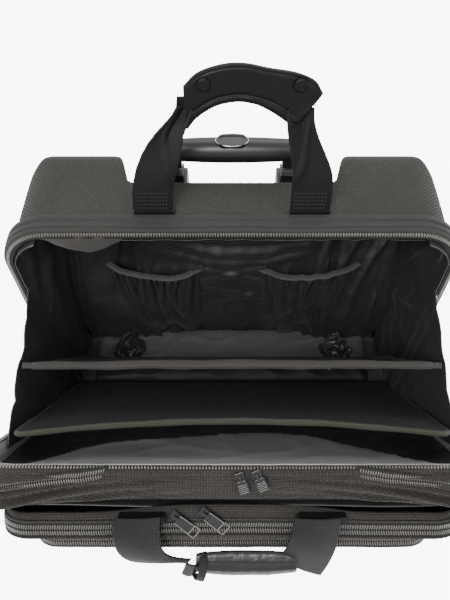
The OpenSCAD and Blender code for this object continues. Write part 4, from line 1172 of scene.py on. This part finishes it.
def soft_pocket(name, half, top, radius, foot, back, front, belly, node, rear_bow=0.0, is_first=False,
                r=5.0):
    """Soft box: a strip over the top and sides, rounded into a bellied front face."""
    rim = arch(half, top, radius, foot, 2.6)
    last = len(rim) - 1

    def strip(u, v):
        x, z, nx, nz, run = rim[int(round(u * last))]
        b, f = back(z), front(z)
        top_part = smooth(top - 40, top - 4, z)
        if is_first:
            b += top_part * (rear_bow - (rear_bow + 5) * min(1, abs(x) / 190) ** 2)
            b -= top_part * 4.0 * bell(abs(x) - 110, 40)
        if v < 0.72:
            t = v / 0.72
            y = mix(b, f + r, t)
            n = 1.2 * hump(t) - 2.6 * (1 - smooth(0, 0.06, t))
            n += 0.5 * wave(run / 26, t * 3, half)
            return (x + nx * n, y, z + nz * n)
        a = (v - 0.72) / 0.28 * pi / 2
        n = -r + r * cos(a)
        y = f + r - r * sin(a)
        return (x + nx * n, y - 0.2, z + nz * n)

    obj = grid(name + "_strip", strip, last, 40, is_open=True, flip=True)
    finish(obj, "cloth", "front_half", [node], thick=1.2, offset=-1.0,
           held=("stretched", "front_section"))

    def face(u, v):
        z = mix(foot, top - 5.0, v)
        w = outline_half(z + 4.8 if v > 0.9 else z, half, top, radius) - 5.0
        if v > 0.97:
            w = outline_half(top - 0.6, half, top, radius) - 5
        x = mix(-w, w, u)
        e = min(1.0, (1 - abs(2 * u - 1)) * 6) * min(1.0, (1 - v) * 8) * min(1.0, v * 8)
        y = front(z) - belly * hump(u) ** 0.6 * hump(v) ** 0.6 * e
        return (x, y + 0.6 * wave(x / 40, z / 40, half) * e, z)

    obj = grid(name + "_face", face, 100, 80, is_open=True)
    finish(obj, "cloth", "front_half", thick=1.2, offset=-1.0,
           held=("stretched", "front_section"))
    return strip, last, rim


def front_walls():
    """Front section's own wall, the open pocket behind the zipped one, and their lips."""
    def wall(u, v):
        z = mix(40, TOP, v)
        w = outline_half(z, HALF + 0.5, TOP + 0.5, CORNER)
        x = mix(-w, w, u)
        return (x, front_y(z) + 0.6 - 0.8 * wave(x / 60, z / 60, 5.0) * hump(u) * hump(v), z)

    obj = grid("front_wall_cloth", wall, 90, 70, is_open=True)
    finish(obj, "cloth", "front_half", ["front_section"], thick=1.6,
           held=("stretched", "front_zip_teeth"))

    def inner(u, v):
        z = mix(44, 342.5, v)
        w = outline_half(z, HALF - 2.5, TOP - 2.5, CORNER - 2)
        x = mix(-w, w, u)
        y = front_y(z) + 3.5 + 2.2 * hump(v) * hump(u)
        y += 1.8 * ridge(x / 70, z / 30, 3.0) ** 2 * hump(v)
        y += 1.0 * bell(z - 326, 1.4)
        return (x, y, z)

    obj = grid("front_wall_lining", inner, 120, 90, is_open=True)
    finish(obj, "facing_dark", "front_half", thick=0.9, held=("hung", "front_section"))
    # Below an arched edge the grey lining is painted black: painted shade where light does not reach down
    # into the front section. The grey reaches deepest in the middle.
    obj.data.materials.append(MATERIALS["lining"])
    for face in obj.data.polygons:
        k = face.index // 90 / 120 * 2 - 1
        face.material_index = int((1 - (face.index % 90) / 90) * 300 > 40 + 105 * (1 - k * k)
                                  + 8 * sin(k * 7))

    def border(u, v):
        k = int(round(u * (len(edge) - 1)))
        x, z, nx, nz, run = edge[k]
        y = mix(zip_y(z) + 0.5, front_y(z) + 4, v)
        n = -1.5 - 2.0 * smooth(0, 0.3, v) - 1.5 * hump(v) - 0.7 * wave(run / 14, v * 3, 6.0)
        return (x + nx * n, y, z + nz * n)

    edge = arch(HALF, TOP, CORNER, FOOT + 14, 4.0)
    obj = grid("front_rim_lining", border, len(edge) - 1, 8, is_open=True)
    finish(obj, "facing_dark", "front_half", thick=0.8, held=("hung", "front_section"))

    def mouth(u, v):
        x = mix(-190, 190, u)
        z = mix(250, 343, v) - 3 * (abs(x) / 190) ** 4 * v
        return (x, mix(back_line(z) + 1.2, front_y(z) - 1.5, 0.25 + 0.1 * sin(x / 30)), z)

    obj = grid("organiser_inner_cloth", mouth, 80, 24, is_open=True)
    finish(obj, "lining", "front_half", ["organiser_pocket"], thick=0.9,
           held=("hung", "front_section"))


def front_pockets():
    """The zipped pocket and the low pocket in front of it, with their coil zips and welts."""
    strip, last, rim = soft_pocket("zipped_pocket", 196, POCKET_TOP, 30, POCKET_FOOT, back_line, front_line,
                                   5.0, "zipped_pocket", rear_bow=4.5, is_first=True)
    low_strip, low_last, low_rim = soft_pocket("low_pocket", 168, LOW_TOP, 22, POCKET_FOOT,
            lambda z: front_line(z) - 0.6, lambda z: low_line(z) - 3.0, 3.0, "low_pocket", r=3.0)
    # Piping along the zipped pocket's rear lip
    pts = [strip(k / last, 0.02) for k in range(0, last + 1, 2) if rim[k][1] > 150]
    pipe = sweep("pocket_piping", curve_path(pts, 320, (0, 1, 0)), round_profile(1.5), is_open=True)
    finish(pipe, "tape", "front_half")
    # Coil zips over both pockets
    for name, made, count, ring, limit, v in (("pocket", strip, last, rim, 150, 0.5),
            ("low_pocket", low_strip, low_last, low_rim, 120, 0.42)):
        line = []
        for k, (_, z, nx, nz, _) in enumerate(ring):
            if z > limit:
                p, q = np.array(made(k / count, v)), np.array((nx, 0, nz))
                line.append((p + q * 0.6, (0, 1, 0), tuple(q)))
        coil_rows(name + "_coil", line, "front_half", 2.5 if name == "pocket" else 2.1)
        wide = 6.6 if name == "pocket" else 4.4
        tape = sweep(name + "_coil_tape", line,
                     lambda t, w=wide: [(-w, -0.8), (w, -0.8), (w - 0.2, 0.2), (-w + 0.2, 0.2)],
                     is_open=True)
        finish(tape, "tape", "front_half", ["pocket_zip"] if name == "pocket" else [])
        for off in (-wide - 0.6, wide + 0.6):
            welt = [(p + np.array(s) * off, s, l) for p, s, l in line]
            obj = sweep("%s_welt_%s" % (name, "a" if off < 0 else "b"), welt, round_profile(1.1, 0.9, 8),
                        is_open=True)
            finish(obj, "cloth", "front_half")


def slider_piece(name, body, node, origin, heading, length, lean, metal_edge, frame_up=(0, 0, 1)):
    """Zip slider body with its bridge and a ribbed pull."""
    o, h, up = np.array(origin, dtype=float), np.array(heading, dtype=float), np.array(frame_up,
            dtype=float)
    h /= np.linalg.norm(h)
    s = np.cross(up, h)

    def block(lo, hi, taper=1.0, tilt=0.0):
        out = []
        for z in (0, 1):
            for x, y in ((0, 0), (1, 0), (1, 1), (0, 1)):
                w = taper if x else 1.0
                px = mix(lo[0], hi[0], x)
                pz = mix(lo[2], hi[2], z) + tilt * px
                out.append(tuple(o + h * px + s * mix(lo[1], hi[1], y) * w + up * pz))
        return out

    boxes = [block((-6, -3.6, 1.6), (5.5, 3.6, 3.0), 0.8), block((-6, -3.9, -0.2), (5.5, -2.9, 1.7), 0.85),
             block((-6, 2.9, -0.2), (5.5, 3.9, 1.7), 0.85), block((-3.5, -0.9, 2.9), (-2.3, 0.9, 5.2)),
             block((1.5, -0.9, 2.9), (2.7, 0.9, 5.2)), block((-3.5, -0.9, 4.5), (2.7, 0.9, 5.4))]
    t = tan(lean)
    boxes.append(block((0.5, -3.6, 3.2), (length, 3.6, 4.7), 1.12, t))
    for k in range(5):
        x = length * (0.3 + 0.14 * k)
        boxes.append(block((x, -3.9, 3.0), (x + 1.3, 3.9, 5.3), 1.0, t))
    boxes.append(block((0.5, -4.3, 3.5), (length, -3.5, 5.0), 1.12, t))
    boxes.append(block((0.5, 3.5, 3.5), (length, 4.3, 5.0), 1.12, t))
    if metal_edge:
        boxes.append(block((length - 0.4, -4.4, 3.3), (length + 0.5, 4.4, 4.9), 1.0, t))
        boxes.append(block((length + 0.4, -5.0, 3.3), (length + 5.4, -4.3, 4.7), 1.0, t))
        boxes.append(block((length + 0.4, 4.3, 3.3), (length + 5.4, 5.0, 4.7), 1.0, t))
        boxes.append(block((length + 5.3, -4.6, 3.3), (length + 6.1, 4.6, 4.7), 1.0, t))
    verts, faces = [], []
    for b in boxes:
        k = len(verts)
        verts += b
        faces += [[k + i for i in q] for q in ((3, 2, 1, 0), (4, 5, 6, 7), (0, 1, 5, 4), (1, 2, 6, 5),
                (2, 3, 7, 6), (3, 0, 4, 7))]
    obj = new_object(name, verts, faces, flat=True, is_open=True)
    finish(obj, "metal", body, [node], bevel=0.35)
    if metal_edge:
        obj.data.materials.append(MATERIALS["teeth"])
        for poly in obj.data.polygons:
            if poly.index >= (len(boxes) - 4) * 6 or (len(boxes) - 6) * 6 <= poly.index < (len(boxes)
                    - 4) * 6 and poly.index % 6 == 1:
                poly.material_index = 1


def sliders():
    """The four small zip sliders with their pulls."""
    for word, side in SIDES:
        slider_piece("expansion_pull_piece_" + word, "expansion_pull_" + word, "expansion_slider_" + word,
                     (14 + side * 7, -6.5 + side * 1.0, DECK_Z + 1.6), (0.4 + 0.08 * side, -1.0, 0), 12,
                     -0.02, False)
        slider_piece("pocket_pull_piece_" + word, "pocket_pull_" + word, "pocket_slider_" + word,
                     (-33 + side * 12, -42.5 + 1.5 * side, POCKET_TOP + 2.2), (0.78, -0.62, 0), 15, 0.03,
                     True)


def front_handle():
    """Two curled webbing straps and the leather bar between them, one strap twisted into a loop."""
    foot = np.array((0, -44.0, 356.0))
    droop = FRONT_HANDLE_DROOP
    out, up = np.array((0, -cos(droop), -sin(droop))), np.array((0, -sin(droop), cos(droop)))

    def at(x, s, d):
        return foot + out * s + up * d + np.array((x, 0, 0))

    # Each strap's inner and outer edges: x, reach from the foot and rise, from the foot to the end
    edges = {"left": (((-95, -6, 1), (-96, 12, 4), (-93, 28, 3), (-85, 40, -1), (-71, 45, -5),
                       (-55, 46, -7), (-40, 45, -6)),
                      ((-57, -7, 1), (-58, 8, 5), (-57, 20, 5), (-54, 29, 3), (-48, 34, 1), (-41, 36, 1),
                       (-33, 35, 2))), "right": (
            ((49, -6, 1), (48, 4, 4), (46, 15, 4), (43.5, 26, 1), (41, 34, -3), (39, 39, -6), (38, 42, -8)),
            ((87, -6, 1), (86.5, 6, 4), (85, 19, 4), (83, 32, 2), (80, 44, -1), (77.5, 53, -3),
             (75.5, 59, -5)))}
    for word, side in SIDES:
        ts = np.linspace(0, 1, 7)
        fits = [np.polyfit(ts, np.array(line, dtype=float), 4) for line in edges[word]]

        def strap(u, v):
            p, q = (np.array([np.polyval(f[:, i], v) for i in range(3)]) for f in fits)
            x, s, d = mix(p, q, u)
            return tuple(at(x, s, d + (1.5 + 1.5 * v) * hump(u)))

        web = grid("front_webbing_" + word, strap, 26, 56, is_open=True, flip=True)
        finish(web, "webbing", "front_handle", ["front_strap_" + word], thick=2.2, levels=1)
        if side > 0:
            # A pale tube along the strap's cut end: painted highlight on its edge.
            cut = [strap(k / 30, 1.0) for k in range(31)]
            obj = sweep("strap_cut_edge", curve_path(cut, 40), round_profile(1.15), is_open=True)
            finish(obj, "edge", "front_handle")
    # Leather bar: a folded wrap with a ridge line, pinched at its ends
    def bar(u, v):
        x = mix(-30, 54, u)
        a = 2 * pi * v
        ends = 1 - 0.28 * abs(2 * u - 1) ** 3
        rs, rd = 12.5 * ends, 5.4 * ends
        seam = 0.8 * bell(v - 0.2, 0.03) + 0.5 * bell(v - 0.33, 0.02)
        s = 43 + rs * cos(a) + 2.0 * sin(u * 3.1) + 0.5 * wave(u * 12, v * 3, 1.0)
        return tuple(at(x, s, -1.5 + (rd + seam) * sin(a) - 2.0 * hump(u) + 0.3 * wave(u * 16, v * 5, 2.0)))

    grip = grid("leather_bar", bar, 70, 40, wrap_v=True, is_open=True)
    grid_caps(grip)
    finish(grip, "glossy", "front_handle", ["front_grip"])
    # Pale cut loop where the left strap wraps the bar's end
    def loop(u, v):
        a = mix(-0.5, 4.6, u)
        x = -33 + 7 * v + 6 * sin(a * 0.6)
        return tuple(at(x, 47 + (11.5 + 1.5 * v) * cos(a), -1.5 + (7 + 1.2 * v) * sin(a)))

    obj = grid("bar_end_loop", loop, 40, 8, is_open=True)
    finish(obj, "webbing", "front_handle", thick=2.0, levels=1)
    tongue = grid("bar_end_tongue", lambda u, v: tuple(
            at(-38 + 12 * u - 5 * v, 40 + 18 * v, 1 - 6 * v + 3 * sin(3 * u))), 8, 12, is_open=True)
    finish(tongue, "leather", "front_handle", thick=1.8, levels=1)


def trolley_details():
    """Bright rim round the oval button."""
    lo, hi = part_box("release_button")
    cx, cy = (lo[0] + hi[0]) / 2 * 1000, (lo[1] + hi[1]) / 2 * 1000 - SHIFT
    rx, ry, z = (hi[0] - lo[0]) * 500, (hi[1] - lo[1]) * 500, hi[2] * 1000
    ring = [(cx + (rx + 0.9) * cos(a), cy + (ry + 0.9) * sin(a), z - 1.0)
            for a in np.linspace(0, 2 * pi, 60)]
    obj = sweep("button_rim", curve_path(ring, 90), round_profile(0.55, sides=8))
    finish(obj, "steel", "trolley_upper_stage")


# ---- Stage ----


def stage():
    """Pale floor, soft lights and the camera."""
    scene = bpy.context.scene
    look = scene.case_look
    floor = bpy.data.meshes.new("floor")
    w = FLOOR_HALF
    floor.from_pydata([(-w, -w, 0), (w, -w, 0), (w, w, 0), (-w, w, 0)], [], [(0, 1, 2, 3)])
    obj = bpy.data.objects.new("floor", floor)
    scene.collection.objects.link(obj)
    mat = plain("PaleFloor", (0.95, 0.95, 0.95), 0.9, worn=0.0)
    glow = mat.node_tree.nodes["Principled BSDF"]
    glow.inputs["Emission Color"].default_value = (1, 1, 1, 1)
    # The floor looks white to the camera without lighting the case from below
    path = mat.node_tree.nodes.new("ShaderNodeLightPath")
    lit = mat.node_tree.nodes.new("ShaderNodeMath")
    lit.operation = "MULTIPLY"
    lit.inputs[1].default_value = look.floor_glow
    mat.node_tree.links.new(path.outputs["Is Camera Ray"], lit.inputs[0])
    mat.node_tree.links.new(lit.outputs[0], glow.inputs["Emission Strength"])
    floor.materials.append(mat)
    world = bpy.data.worlds.new("soft_world")
    world.use_nodes = True
    world.node_tree.nodes["Background"].inputs[0].default_value = (1, 1, 1, 1)
    world.node_tree.nodes["Background"].inputs[1].default_value = look.world_light
    scene.world = world
    for name, at, target, size, power in (
            ("key", (-0.9, -1.1, 2.2), (0, 0, 0.25), 1.4, look.key_light),
            ("fill", (1.5, -0.9, 1.7), (0, 0, 0.25), 1.6, look.key_light * 0.55),
            ("inner", (-0.25, -0.75, 1.55), (0, 0.1, 0.12), 0.35, look.key_light * 0.42),
            ("back", (0.2, 1.7, 2.0), (0, 0, 0.3), 1.6, look.key_light * 0.6)):
        data = bpy.data.lights.new(name, "AREA")
        data.size = size
        data.energy = power
        lamp = bpy.data.objects.new(name, data)
        lamp.location = at
        lamp.rotation_euler = (Vector(target) - Vector(at)).to_track_quat("-Z", "Y").to_euler()
        scene.collection.objects.link(lamp)
    data = bpy.data.cameras.new("camera")
    data.sensor_width = 36
    data.lens = look.lens
    data.shift_x = look.shift_x
    cam = bpy.data.objects.new("camera", data)
    cam.location = place((look.camera_x, CAMERA_Y, CAMERA_Z))
    cam.rotation_euler = (Matrix.Rotation(radians(look.camera_yaw), 3, "Z")
                          @ Matrix.Rotation(radians(CAMERA_TILT), 3, "X")
                          @ Matrix.Rotation(radians(look.camera_roll), 3, "Z")).to_euler()
    scene.collection.objects.link(cam)
    scene.camera = cam


# ---- Settings, operators and panel ----


def colour(name, description, default):
    """A colour setting."""
    return bpy.props.FloatVectorProperty(
        name=name, description=description, size=3, subtype="COLOR", default=default)


def value(name, description, default, **limits):
    """A number setting."""
    return bpy.props.FloatProperty(name=name, description=description, default=default, **limits)


class CaseLook(bpy.types.PropertyGroup):
    """Colours and stage values of the case."""

    cloth: colour("Woven cloth", "Colour of the outer woven cloth", (0.0205, 0.0195, 0.0168))
    band: colour("Rim band", "Colour of the band round the rim", (0.0155, 0.0147, 0.0135))
    binding: colour("Divider binding", "Colour of the dividers' bound edges", (0.021, 0.0195, 0.018))
    lining: colour("Lining", "Colour of the shiny lining", (0.0085, 0.0083, 0.0086))
    teeth: colour("Zip teeth", "Colour of the main zip's teeth", (0.075, 0.071, 0.065))
    world_light: value("Surrounding light", "Strength of the light all round", 1.5, min=0)
    key_light: value("Main light", "Power of the main lamp", 58.0, min=0, unit="POWER")
    floor_glow: value("Floor glow", "Light given off by the pale floor", 6.0, min=0)
    lens: value("Lens", "Focal length in millimetres", 33.6, min=1)
    shift_x: value("Lens shift", "Sideways shift of the lens", -0.0117)
    camera_x: value("Camera offset", "Camera's sideways place in millimetres", 0.0)
    camera_yaw: value("Camera turn", "Turn about the upright axis in degrees", 0.0)
    camera_roll: value("Camera roll", "Roll of the camera in degrees", 0.0)


def operator(key, label, doc, work):
    """One operator class for a piece or a group of like pieces."""
    def execute(self, context):
        work()
        return {"FINISHED"}
    return type("CASE_OT_" + key, (bpy.types.Operator,),
                {"__doc__": doc, "bl_idname": "case." + key, "bl_label": label,
                 "bl_options": {"REGISTER", "UNDO"}, "execute": execute})


OPERATORS = [operator("materials", "Materials", "Makes every cloth, leather, plastic and metal finish",
                      make_materials),
             operator("solid_parts", "Solid parts",
                      "Finishes the wheels, tubes, cover and other solid parts", plain_cad),
             operator("shell", "Shell", "Rounds the moulded rear shell and covers it in cloth", shell_skin),
             operator("rear_rim", "Rear rim", "Makes the stitched rim band, its teeth, facing and rivets",
                      rear_rim), operator("lining", "Lining", "Hangs the loose lining in the shell",
        lining_bag), operator("inner_pockets", "Inner pockets",
                              "Gathers the two side pockets and folds the middle one", inner_pockets),
             operator("floor", "Padded floor", "Swells the floor pad and crumples the cloth at its ends",
                      floor_pad), operator("side_cloths", "Side cloths",
        "Hangs the side cloths between the two halves", gussets),
             operator("dividers", "Dividers", "Makes both padded dividers with their bound edges",
                      dividers), operator("rear_handle", "Rear handle",
        "Makes the rear webbing straps and the wrapped grip", rear_handle),
             operator("front_deck", "Front top", "Folds the front section's top strip and lays its zips",
                      front_deck), operator("front_walls", "Front walls",
        "Makes the front wall, its lining and the open pocket", front_walls),
             operator("front_pockets", "Front pockets", "Makes the two soft front pockets with coil zips",
                      front_pockets),
             operator("sliders", "Zip pulls", "Makes the four small zip sliders and pulls", sliders),
             operator("front_handle", "Front handle", "Makes the front straps and the leather bar",
                      front_handle),
             operator("trolley", "Trolley grip", "Adds the rim of the trolley's button", trolley_details),
             operator("stage", "Stage", "Lays the floor and sets the lights and camera", stage),]


class CASE_PT_panel(bpy.types.Panel):
    """Lists the case's settings and its building steps."""

    bl_label = "Flight Case"
    bl_idname = "CASE_PT_panel"
    bl_space_type = "VIEW_3D"
    bl_region_type = "UI"
    bl_category = "Flight Case"

    def draw(self, context):
        look = context.scene.case_look
        for key in look.bl_rna.properties.keys():
            if key not in ("rna_type", "name"):
                self.layout.prop(look, key)
        for op in OPERATORS:
            self.layout.operator(op.bl_idname)


CLASSES = [CaseLook] + OPERATORS + [CASE_PT_panel]


def register():
    for cls in CLASSES:
        bpy.utils.register_class(cls)
    bpy.types.Scene.case_look = bpy.props.PointerProperty(type=CaseLook)


def unregister():
    del bpy.types.Scene.case_look
    for cls in reversed(CLASSES):
        bpy.utils.unregister_class(cls)


def main():
    """Builds every piece in order and writes the sizes of the solid and visual models."""
    register()
    for op in OPERATORS:
        getattr(bpy.ops.case, op.bl_idname.split(".")[1])()


if __name__ == "__main__":
    main()
